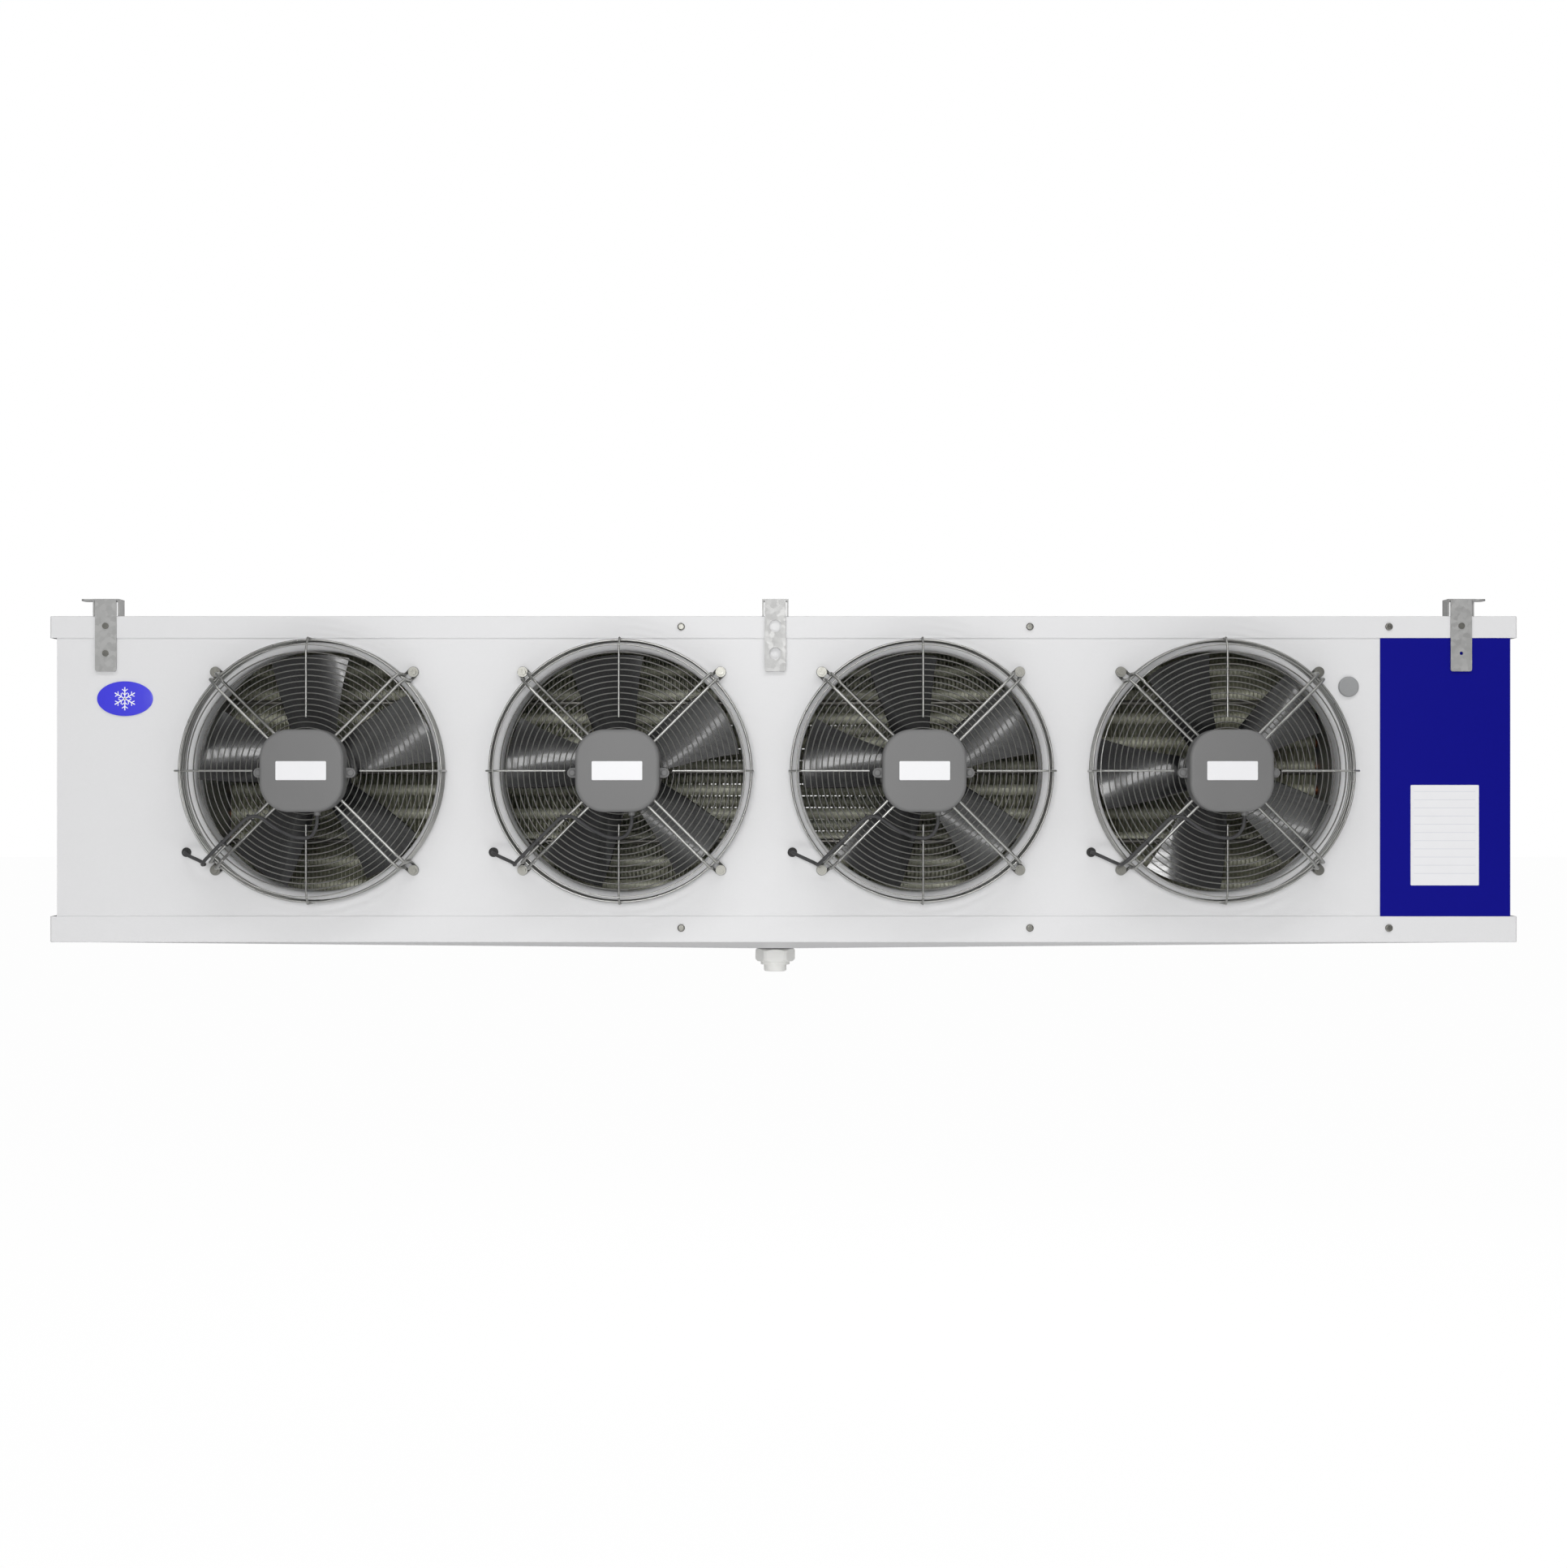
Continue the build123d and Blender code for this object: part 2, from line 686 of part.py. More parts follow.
def bearing_ys():
    """Front faces of a motor's two bearings."""
    first = front - flange_front + motor_flange
    last = front + rotor_back - rotor_wall - bearing_inset - bearing_width
    return (first, last)


def motor_bearings():
    """Two ball bearings drawn as rings between the bearing tube and the shaft."""
    inner, outer = shaft_r + shaft_gap, bearing_r - shaft_gap
    rings = []
    for y in bearing_ys():
        profile = [(inner, y), (outer, y), (outer, y + bearing_width), (inner, y + bearing_width)]
        rings.append(turned(profile, 0, fan_z))
    return rings


def rotor():
    """Turning half of the motor: a can round the stack, closed at the back, and its shaft."""
    y_front = front - rotor_front
    y_back = front + rotor_back
    inner = rotor_r - rotor_wall
    shaft_end = bearing_ys()[0] - shaft_stub
    profile = [
        (0, shaft_end), (shaft_r, shaft_end), (shaft_r, y_back - rotor_wall),
        (inner, y_back - rotor_wall), (inner, y_front), (rotor_r, y_front),
        (rotor_r, y_back - 2 * rotor_wall), (rotor_r - 2 * rotor_wall, y_back), (0, y_back),
    ]
    return turned(profile, 0, fan_z)


def blade_section(radius, chord, stagger, sweep_angle):
    """Thin cambered section in the plane across a radius; the fan's axis is Y at the origin."""
    camber = chord * blade_camber
    half = chord / 2
    tilt = radians(stagger)
    half_wall = blade_wall / 2

    def at(along, lift):
        across = along * cos(tilt) - lift * sin(tilt)
        deep = along * sin(tilt) + lift * cos(tilt)
        swept = radians(sweep_angle)
        side = across * cos(swept) + radius * sin(swept)
        up = radius * cos(swept) - across * sin(swept) * blade_lean
        return Vector(side, deep, up)

    over = ThreePointArc(at(-half, half_wall), at(0, camber + half_wall), at(half, half_wall))
    under = ThreePointArc(at(half, -half_wall), at(0, camber - half_wall), at(-half, -half_wall))
    nose = Line(at(half, half_wall), at(half, -half_wall))
    tail = Line(at(-half, -half_wall), at(-half, half_wall))
    return Wire([*over.edges(), *nose.edges(), *under.edges(), *tail.edges()])


def blade():
    """One swept blade that stands up along +Z from the fan's axis, longer than needed."""
    sections = []
    steps = 4
    start, end = stack_r, tip_r + blade_spare
    for k in range(steps):
        share = k / (steps - 1)
        radius = start + share * (end - start)
        chord = root_chord + share * (tip_chord - root_chord)
        stagger = root_stagger + share * (tip_stagger - root_stagger)
        sections.append(make_face(blade_section(radius, chord, stagger, blade_sweep * share * share)))
    return loft(sections)


def impeller():
    """Hub band with its blades, the first one upright, which sits on the rotor can."""
    middle = front + blade_back + blade_depth / 2
    swept = blade().intersect(rod_y(tip_r, 0, (-blade_depth, blade_depth), 0)).solids()[0]
    pocket = rod_y(hub_r + hub_wall / 2, 0, (-blade_depth, blade_depth), 0)
    trimmed = cut(swept, [pocket])
    blades = []
    for k in range(blade_count):
        turn = Rot(0, k * 360 / blade_count, 0)
        blades.append(Pos(0, middle, fan_z) * turn * trimmed)
    hub_half = blade_depth / 2 + hub_margin
    profile = [(hub_r, middle - hub_half), (hub_outer_r, middle - hub_half),
               (hub_outer_r, middle + hub_half), (hub_r, middle + hub_half)]
    return join([turned(profile, 0, fan_z)] + blades)


def turned_impeller(shape, first_angle):
    """The impeller turned round its axis until its first blade is at an angle from +X."""
    return Pos(0, 0, fan_z) * Rot(0, 90 - first_angle, 0) * Pos(0, 0, -fan_z) * shape


# Motor leads

def strut_side(radius, ahead):
    """Point beside the lower left strut, on the side of the grommet."""
    corner = strut_r / cos(pi / wire_sides)
    return polar(radius, -(strut_half + corner + lead_r + wire_gap), ahead, radians(225))


def lead_route():
    """From the cap's gland in a loop below the motor, along the strut and down to the grommet."""
    z = fan_z
    over = guard_front + strut_r + lead_r + 2 * wire_gap
    outside = side_wire_r(strut_r) + strut_r + lead_r + wire_gap
    return [
        (lead_start_x, lead_y(), gland_bottom() + gland_length - 2),
        (lead_start_x, lead_y(), z - 80),
        (9, front - over - 4, z - 97),
        (-14, front - over - 2, z - 96),
        (-40, front - over - 1, z - 84),
        strut_side(94, over),
        strut_side(136, over),
        strut_side(170, over + 1),
        strut_side(outside + 5, guard_front + 2),
        strut_side(outside + 5, 22),
        (grommet_x, front - 26, z + grommet_z),
        (grommet_x, front + sheet + 16, z + grommet_z),
    ]


def bend_radii(points):
    """Largest tangent arcs that a route's runs allow, one for each corner."""
    radii = []
    for before, corner, after in zip(points, points[1:], points[2:]):
        first = Vector(*corner) - Vector(*before)
        second = Vector(*after) - Vector(*corner)
        turn = radians(first.get_angle(second))
        radii.append(0.45 * min(first.length, second.length) / tan(turn / 2))
    return radii


def motor_lead():
    """Round lead that ends inside the casing, just past its grommet."""
    points = lead_route()
    return rope(wire_through(points, bend_radii(points)), lead_r)


def lead_grommet():
    """Rubber ring snapped into the front panel round the lead."""
    bore = lead_r + wire_gap
    outside = front - sheet_gap
    inside = front + sheet + sheet_gap
    profile = [
        (bore, outside - grommet_lip), (grommet_r - 1, outside - grommet_lip),
        (grommet_r, outside - grommet_lip + 1), (grommet_r, outside),
        (grommet_neck_r, outside), (grommet_neck_r, inside), (grommet_r, inside),
        (grommet_r, inside + grommet_lip), (bore, inside + grommet_lip),
    ]
    return turned(profile, grommet_x, fan_z + grommet_z)


# Coil

def tube_places():
    """(row, tube, y, z) of every straight tube; alternate rows are staggered by half a pitch."""
    places = []
    for row in range(row_count):
        y = coil_front + (row + 0.5) * row_pitch
        shift = tube_pitch / 4 * (1 if row % 2 else -1)
        for tube in range(tubes_high):
            z = fan_z + (tube - (tubes_high - 1) / 2) * tube_pitch + shift
            places.append((row, tube, y, z))
    return places


def coil_fins():
    """Envelope of the fin pack, with a passage for each tube."""
    xs = (left_sheet_x + plate + fin_inset, right_sheet_x - fin_inset)
    half = coil_height / 2
    pack = block(xs, (coil_front, coil_back), (fan_z - half, fan_z + half))
    ends = (xs[0] - 1, xs[1] + 1)
    return cut(pack, [rod_x(tube_r + hole_gap, ends, y, z) for _, _, y, z in tube_places()])


def coil_tubes():
    xs = (left_sheet_x - stub, right_sheet_x + plate + stub)
    return group(rod_x(tube_r, xs, y, z) for _, _, y, z in tube_places())


def return_bend(x, side, y, z):
    """U of tube that joins the end at z to the next one above it."""
    reach = side * tube_pitch / 2
    start = x + side * hole_gap
    middle = z + tube_pitch / 2
    arc = ThreePointArc((start, y, z), (start + reach, y, middle), (start, y, z + tube_pitch))
    return rope(Wire(arc.edges()), bend_tube_r)


def return_bends():
    """Pairs on the left, and on the right the pairs between them, so each row is one circuit."""
    bends = []
    for _, tube, y, z in tube_places():
        if tube % 2 == 0:
            bends.append(return_bend(left_sheet_x - stub, -1, y, z))
        elif tube < tubes_high - 1:
            bends.append(return_bend(right_sheet_x + plate + stub, 1, y, z))
    return group(bends)


def tube_sheet(x, services):
    """Plate across the casing, with a hole for each tube and heater."""
    near = front + sheet + flange + 2 * sheet_gap if services else front + sheet + sheet_gap
    low = bottom + tray_rim / 2
    sheet_plate = block((x, x + plate), (near, back), (low, panel_top - sheet - sheet_gap))
    ends = (x - 1, x + plate + 1)
    holes = [rod_x(tube_r + hole_gap, ends, y, z) for _, _, y, z in tube_places()]
    holes += [rod_x(heater_r + hole_gap, ends, heater_y, z) for z in heater_zs]
    return cut(sheet_plate, holes)


def bay_partitions():
    """Plates between neighbouring fans, from the front panel to the coil."""
    plates = []
    for left, right in zip(fan_xs, fan_xs[1:]):
        x = (left + right - plate) / 2
        ys = (front + sheet + flange + sheet_gap, coil_front - partition_gap)
        wall = block((x, x + plate), ys, (bottom + tray_rim / 2, panel_top - sheet - sheet_gap))
        foot = block((x, x + flange), (ys[0], ys[0] + plate),
                     (bottom + tray_rim / 2, panel_top - sheet - sheet_gap))
        holes = [rod_x(heater_r + hole_gap, (x - 1, x + plate + 1), heater_y, z) for z in heater_zs]
        plates.append(cut(wall.fuse(foot), holes))
    return group(plates)


def defrost_heaters():
    xs = (left_sheet_x - stub, right_sheet_x + plate + 2 * stub)
    return group(rod_x(heater_r, xs, heater_y, z) for z in heater_zs)


def header_x():
    return right_sheet_x + plate + header_reach


def header_z():
    """Level of the suction header: the mean of the lowest tubes."""
    return fan_z - (tubes_high - 1) / 2 * tube_pitch


def liquid_z():
    return fan_z - tube_pitch


def lowest_tubes():
    return [(y, z) for _, tube, y, z in tube_places() if tube == 0]


def highest_tubes():
    return [(y, z) for _, tube, y, z in tube_places() if tube == tubes_high - 1]


def suction_header():
    """Pipe along the compartment with a branch to each lowest tube, open at the back end."""
    start = coil_front - row_pitch / 2
    pipe = rod_y(header_r, header_x(), (start, back + pipe_reach), header_z())
    tube_end = right_sheet_x + plate + stub + hole_gap
    branches = [rod_x(bend_tube_r, (tube_end, header_x()), y, z) for y, z in lowest_tubes()]
    bore = rod_y(header_r - sheet, header_x(), (start + sheet, back + pipe_reach + 1), header_z())
    return cut(join([pipe] + branches), [bore])


def liquid_distributor():
    """Turned body with one feeder to each top tube, and the liquid pipe out of the back."""
    body_back = coil_front - row_pitch
    body_front = body_back - distributor_length
    x, z = header_x(), liquid_z()
    land = body_front + distributor_cone
    profile = [(0, body_front), (distributor_r, land), (distributor_r, land + distributor_land),
               (liquid_pipe_r, body_back), (0, body_back)]
    parts = [turned(profile, x, z)]
    parts.append(rod_y(liquid_pipe_r, x, (body_back - 2, back + pipe_reach), z))
    tube_end = right_sheet_x + plate + stub + hole_gap
    for number, (y, tube_z) in enumerate(highest_tubes()):
        parts.append(rod_x(bend_tube_r, (tube_end, tube_end + stub), y, tube_z))
        parts.append(feeder(x, z, body_front, number, y, tube_z, tube_end + stub))
    bore = rod_y(liquid_pipe_r - 1, x, (body_back + 2, back + pipe_reach + 1), z)
    return cut(join(parts), [bore])


def feeder(x, z, body_front, number, y, tube_z, tube_end):
    """Thin tube from the distributor's face up and back to one top tube."""
    ahead = body_front - feeder_dip - feeder_step * number
    shift = x + (number - (row_count - 1) / 2) * 3 * feeder_r
    points = [
        (shift, body_front + distributor_cone + 2, z),
        (shift, ahead, z + number),
        (shift + 3, ahead + 4, z + feeder_rise + feeder_rise_step * number),
        (shift + 1, y - 8, tube_z - 14 + 2 * number),
        (tube_end - 4, y, tube_z),
    ]
    return rope(wire_through(points, feeder_bend), feeder_r)


# Drain

def drain_socket():
    """Flanged spigot through the tray's seat."""
    floor = seat_z + sheet + sheet_gap
    low = seat_z - drain_length
    spigot = rod_z(drain_r, drain_x, 0, (low, floor))
    spigot = chamfer(spigot.edges().sort_by(Axis.Z)[0], 1.5)
    lip = rod_z(drain_flange_r, drain_x, 0, (floor, floor + drain_flange))
    bore = rod_z(drain_bore_r, drain_x, 0, (low - 1, floor + drain_flange + 1))
    return cut(spigot.fuse(lip), [bore])


def drain_gasket():
    high = seat_z - sheet_gap
    ring = rod_z(drain_flange_r, drain_x, 0, (high - gasket, high))
    return ring - rod_z(drain_r + hole_gap, drain_x, 0, (high - gasket - 1, high + 1))


def drain_nut():
    """Hexagon nut with a turned collar below it."""
    high = seat_z - gasket - 2 * sheet_gap
    low = high - nut_height
    outline = Plane.XY.offset(low) * Pos(drain_x, 0) * RegularPolygon(nut_flats / 2, 6, False)
    nut = extrude(outline, nut_height)
    round_off = rod_z(nut_corner_r, drain_x, 0, (low, high))
    round_off = chamfer(round_off.edges().filter_by(GeomType.CIRCLE), nut_bevel)
    collar = rod_z(drain_r + nut_collar, drain_x, 0, (low - nut_collar, low + 1))
    nut = (nut & round_off).fuse(collar)
    return nut - rod_z(drain_r + hole_gap, drain_x, 0, (low - nut_collar - 1, high + 1))


# Small fittings

def panel_screw(x, z):
    """Domed screw through a folded edge into the front panel's flange."""
    seat = front - sheet - 2 * sheet_gap
    head = rod_y(panel_screw_r, x, (seat - panel_screw_dome, seat), z)
    head = fillet(head.edges().filter_by(GeomType.CIRCLE).sort_by(Axis.Y)[0], panel_screw_dome * 0.8)
    shank = rod_y(panel_shank_r, x, (seat, seat + panel_shank), z)
    return cross(head.fuse(shank), x, seat - panel_screw_dome, z, panel_screw_r)


def tab_screw(x, z, side):
    """Screw that holds a hanger's tab to the casing; side is -1 at the front."""
    face = front if side < 0 else back
    seat = face + side * (sheet + sheet_gap + wire_gap + hanger_sheet + sheet_gap)
    head = sorted((seat, seat + side * tab_screw_head))
    shank = sorted((seat, face - side * tab_screw_reach))
    return rod_y(tab_screw_r() + tab_screw_rim, x, head, z).fuse(rod_y(tab_screw_r(), x, shank, z))


def casing_screws():
    screws = [panel_screw(x, z) for x in panel_screw_xs
              for z in (top - lip_screw_drop, top - rim_screw_drop)]
    for x in (-end_hanger_x, end_hanger_x):
        screws += [tab_screw(x, z, 1) for z in tab_hole_zs()]
    screws += [tab_screw(-end_hanger_x, z, -1) for z in tab_hole_zs()]
    screws.append(tab_screw(end_hanger_x, tab_hole_zs()[0], -1))
    return group(screws)


def blanking_plug():
    """Push-in plug for the spare cable hole."""
    z = top - plug_drop
    face = front - sheet_gap
    head = rod_y(plug_r, plug_x, (face - plug_dome, face), z)
    head = fillet(head.edges().filter_by(GeomType.CIRCLE).sort_by(Axis.Y)[0], plug_dome * 0.7)
    neck = rod_y(plug_neck_r, plug_x, (face, front + plug_reach), z)
    room = rod_y(plug_neck_r - plug_wall, plug_x, (front, front + plug_reach + 1), z)
    return head.fuse(neck) - room


def oval_plate(width, height, thickness, edge):
    """Oval that faces -Y with a rounded front edge, its back at the origin."""
    plate_shape = extrude(Plane.XZ * Ellipse(width / 2, height / 2), thickness)
    return fillet(plate_shape.faces().sort_by(Axis.Y)[0].edges(), edge)


def badge():
    place = Pos(badge_x, front - sheet_gap, top - badge_drop)
    return place * oval_plate(badge_width, badge_height, badge_thickness, badge_edge)


def end_badges():
    """Domed badge on each end panel."""
    shapes = []
    for side in (-1, 1):
        dome = oval_plate(end_badge_width, end_badge_height, end_badge_reach, end_badge_edge)
        place = Pos(side * (half_length + sheet_gap), 0, top - end_badge_drop)
        shapes.append(place * Rot(0, 0, 90 * side) * dome)
    return group(shapes)


def nameplate():
    x = (service_x + half_length) / 2 + plate_label_shift
    face = front - sheet - sheet_gap
    return Pos(x, face, top - plate_label_drop) * rounded_plate(
        plate_label_width, plate_label_height, label_corner, label)


def motor_label():
    return Pos(0, front - cap_front - sheet_gap, fan_z) * rounded_plate(
        cap_label_width, cap_label_height, label_corner, label)


def gland_x():
    return half_length - 2 * cable_gland_r - flange


def gland_z():
    return top - 2 * cover_lip


def cable_gland_neck_r():
    return cable_gland_r - cable_gland_wall


def terminal_box():
    """Closed box on the service compartment's side of the end panel."""
    xs = (half_length - sheet - sheet_gap - box_width, half_length - sheet - sheet_gap)
    ys = (front + 3 * flange, front + 3 * flange + box_depth)
    zs = (top - box_drop - box_height / 2, top - box_drop + box_height / 2)
    box = fillet(block(xs, ys, zs).edges().filter_by(Axis.Y), 2 * fold_radius)
    wall = box_wall
    room = block((xs[0] + wall, xs[1] - wall), (ys[0] + wall, ys[1] - wall),
                 (zs[0] + wall, zs[1] - wall))
    return box - room


def cable_gland():
    """Hexagon gland in the back leaf of the right end panel, bored for the supply cable."""
    x, z = gland_x(), gland_z()
    neck = cable_gland_neck_r()
    outside = back + sheet_gap
    inside = back - sheet - sheet_gap
    frame = Plane(origin=(x, outside, z), x_dir=(1, 0, 0), z_dir=(0, 1, 0))
    hexagon = extrude(frame * RegularPolygon(cable_gland_r, 6, False), cable_gland_reach / 2)
    dome = rod_y(cable_gland_r - 1, x, (outside, outside + cable_gland_reach), z)
    dome = fillet(dome.edges().filter_by(GeomType.CIRCLE).sort_by(Axis.Y)[-1],
                  fold_radius)
    end = inside - cable_gland_neck
    stem = rod_y(neck, x, (end, outside), z)
    lock = rod_y(cable_gland_r, x, (inside - cable_gland_lock, inside), z)
    bore = rod_y(cable_r, x, (end - 1, outside + cable_gland_reach + 1), z)
    return join([hexagon, dome, stem, lock]) - bore


def at_fans(shapes):
    """Copies of a fan's small pieces at every fan, in one node."""
    return group(Pos(x, 0, 0) * shape for x in fan_xs for shape in shapes)


def build():
    nodes = {
        "front_panel": front_panel(),
        "top_cover": top_cover(),
        "drip_tray": drip_tray(),
        "left_end_panel": end_panel(-1),
        "right_end_panel": end_panel(1),
        "service_cover": service_cover(),
        "bay_partitions": bay_partitions(),
        "left_tube_sheet": tube_sheet(left_sheet_x, False),
        "right_tube_sheet": tube_sheet(right_sheet_x, True),
        "coil_fins": coil_fins(),
        "coil_tubes": coil_tubes(),
        "return_bends": return_bends(),
        "suction_header": suction_header(),
        "liquid_distributor": liquid_distributor(),
        "defrost_heaters": defrost_heaters(),
        "front_hanger_left": hanger(-end_hanger_x, -1, -1),
        "front_hanger_middle": hanger(middle_hanger_x, -1),
        "front_hanger_right": hanger(end_hanger_x, -1, 1),
        "back_hanger_left": hanger(-end_hanger_x, 1),
        "back_hanger_middle": hanger(middle_hanger_x, 1),
        "back_hanger_right": hanger(end_hanger_x, 1),
        "casing_screws": casing_screws(),
        "guard_screws": guard_screws(),
        "drain_socket": drain_socket(),
        "drain_nut": drain_nut(),
        "drain_gasket": drain_gasket(),
        "terminal_box": terminal_box(),
        "cable_gland": cable_gland(),
        "nameplate": nameplate(),
        "badge": badge(),
        "end_badges": end_badges(),
        "blanking_plug": blanking_plug(),
        "lead_grommets": at_fans([lead_grommet()]),
        "motor_labels": at_fans([motor_label()]),
        "motor_bearings": at_fans(motor_bearings()),
    }
    fan = {
        "guard": guard(),
        "motor_cap": motor_cap(),
        "stator": stator(),
        "rotor": rotor(),
        "motor_lead": motor_lead(),
    }
    wheel = impeller()
    for number, (x, angle) in enumerate(zip(fan_xs, first_blade_angles), 1):
        for name, shape in fan.items():
            nodes[f"{name}_{number}"] = Pos(x, 0, 0) * shape
        nodes[f"impeller_{number}"] = Pos(x, 0, 0) * turned_impeller(wheel, angle)
    return nodes


os.makedirs("parts", exist_ok=True)
for name, shape in build().items():
    export_step(shape, f"parts/{name}.step")
print("lead radii", [round(r) for r in bend_radii(lead_route())])
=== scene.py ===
"""Dresses a ceiling-hung unit cooler: finishes for its sheet metal, motors and coil, true fins and
wire guards, labels, and a plain studio round it."""
import json
from math import cos, pi, radians, sin, tan

import bmesh
import bpy
from mathutils import Matrix, Vector


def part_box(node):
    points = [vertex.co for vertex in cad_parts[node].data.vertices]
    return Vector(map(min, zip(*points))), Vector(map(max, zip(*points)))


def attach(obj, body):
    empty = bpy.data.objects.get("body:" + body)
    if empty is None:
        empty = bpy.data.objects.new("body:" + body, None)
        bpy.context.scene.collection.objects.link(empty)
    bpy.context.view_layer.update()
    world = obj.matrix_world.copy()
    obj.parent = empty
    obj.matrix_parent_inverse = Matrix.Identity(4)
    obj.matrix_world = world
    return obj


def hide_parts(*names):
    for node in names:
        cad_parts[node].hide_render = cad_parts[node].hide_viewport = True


bl_info = {
    "name": "Unit Cooler Dressing",
    "version": (1, 0, 0),
    "blender": (4, 5, 0),
    "location": "3D View > Sidebar > Unit Cooler",
    "description": "Finishes, fins, guards and labels for a ceiling-hung unit cooler",
    "category": "Object",
}

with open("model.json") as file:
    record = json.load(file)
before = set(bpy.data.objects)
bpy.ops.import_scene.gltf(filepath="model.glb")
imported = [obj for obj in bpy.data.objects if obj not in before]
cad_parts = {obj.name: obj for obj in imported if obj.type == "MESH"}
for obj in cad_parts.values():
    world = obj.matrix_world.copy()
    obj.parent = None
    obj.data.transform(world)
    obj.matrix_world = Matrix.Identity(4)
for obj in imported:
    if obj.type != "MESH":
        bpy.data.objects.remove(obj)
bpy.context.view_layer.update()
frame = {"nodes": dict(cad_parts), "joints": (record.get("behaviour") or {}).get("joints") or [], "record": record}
MM = 0.001


def linear(red, green, blue):
    """A colour of three screen values from 0 to 255 as linear light, by the sRGB formula."""
    def channel(value):
        value /= 255
        return value / 12.92 if value <= 0.04045 else ((value + 0.055) / 1.055) ** 2.4
    return tuple(channel(value) for value in (red, green, blue))


def fan_axes():
    """Each fan's body name and the place where its axis meets the casing's front."""
    return [(joint["child"], Vector(joint["pos_m"])) for joint in frame["joints"]]


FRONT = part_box("front_panel")[0].y
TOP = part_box("top_cover")[1].z
AXIS_Z = fan_axes()[0][1].z


# Sizes and colours that a user would change

def length(name, description, millimetres):
    return bpy.props.FloatProperty(name=name, description=description, default=millimetres * MM,
                                   unit="LENGTH", subtype="DISTANCE")


def colour(name, description, red, green, blue):
    return bpy.props.FloatVectorProperty(name=name, description=description, size=3,
                                         subtype="COLOR", default=linear(red, green, blue))


def angle(name, description, degrees):
    return bpy.props.FloatProperty(name=name, description=description, default=radians(degrees),
                                   unit="ROTATION", subtype="ANGLE")


def ratio(name, description, default):
    return bpy.props.FloatProperty(name=name, description=description, default=default,
                                   subtype="FACTOR")


def power(name, description, watts):
    return bpy.props.FloatProperty(name=name, description=description, default=watts, unit="POWER")


def whole(name, description, default):
    return bpy.props.IntProperty(name=name, description=description, default=default)


class CasingFinish(bpy.types.PropertyGroup):
    """Colours of the casing and its fittings."""
    white: colour("White", "Powder coat of the casing", 227, 227, 228)
    blue: colour("Blue", "Powder coat of the service cover", 8, 9, 134)
    zinc: colour("Zinc", "Galvanised hangers, tube sheets and partitions", 178, 178, 177)
    screws: colour("Screws", "Plated screws", 138, 138, 135)
    drain: colour("Drain", "Plastic of the drain socket and its nut", 236, 236, 233)
    plug: colour("Plug", "Plastic of the blanking plug", 150, 151, 152)
    box: colour("Terminal box", "Plastic of the terminal box", 205, 206, 208)
    gland: colour("Gland", "Plastic of the cable gland", 150, 150, 152)
    rubber: colour("Rubber", "Gasket and grommets", 38, 38, 38)


class LabelFinish(bpy.types.PropertyGroup):
    """Badges, nameplate and motor labels."""
    resin: colour("Badge", "Resin of the badges", 62, 58, 226)
    ink: colour("Print", "Print on the badges", 240, 240, 246)
    film: colour("Film", "Film of the nameplate and the motor labels", 238, 238, 240)
    ruling: colour("Ruling", "Ruled lines on the nameplate", 205, 207, 214)
    pitch: length("Ruling pitch", "From one ruled line to the next", 12.0)
    line_half: length("Line half width", "Half the width of a ruled line", 0.25)
    margin: ratio("Margin", "Share of the nameplate's half size without lines", 0.1)


class FanFinish(bpy.types.PropertyGroup):
    """Colours of motors, impellers, leads and guards."""
    cap: colour("Motor cap", "Lacquer of the motors' caps", 116, 116, 116)
    body: colour("Motor body", "Lacquer of the motors' flanges", 92, 92, 92)
    rotor: colour("Rotor", "Lacquer of the turning cans", 34, 34, 34)
    blade: colour("Blades", "Gloss lacquer of the impellers", 16, 16, 17)
    bearing: colour("Bearings", "Ground steel of the bearings", 190, 190, 190)
    lead: colour("Leads", "Sheath of the motors' leads", 52, 52, 53)
    tie: colour("Ties", "Plastic of the lead ties", 40, 40, 42)
    wire: colour("Guard frame", "Bright zinc on struts, spokes and side rings", 172, 172, 169)
    # The face rings are the same zinc as the frame wire; their darker colour is painted shade.
    ring: colour("Guard rings", "Zinc of the face rings, darkened as painted shade", 118, 118, 115)


class CoilFinish(bpy.types.PropertyGroup):
    """Colours of the coil's metals."""
    fins: colour("Fins", "Aluminium of the fins and collars", 236, 236, 220)
    copper: colour("Copper", "Tubes, bends and header", 200, 128, 96)
    brass: colour("Brass", "Liquid distributor", 205, 176, 110)
    heaters: colour("Heaters", "Steel of the defrost heaters", 150, 148, 145)


class CoilSizes(bpy.types.PropertyGroup):
    """The finned coil."""
    fin_pitch: length("Fin pitch", "From one fin to the next", 6.5)
    fin_wall: length("Fin thickness", "Thickness of one fin", 0.5)
    tube_pitch: length("Tube pitch", "From one tube to the next above it", 38.1)
    row_pitch: length("Row pitch", "From one row of tubes to the next behind it", 33.0)
    collar_radius: length("Collar radius", "Outside of the fin collars on the tubes", 8.7)
    tubes: whole("Tubes high", "Tubes in one row", 10)
    rows: whole("Rows deep", "Rows of tubes", 4)


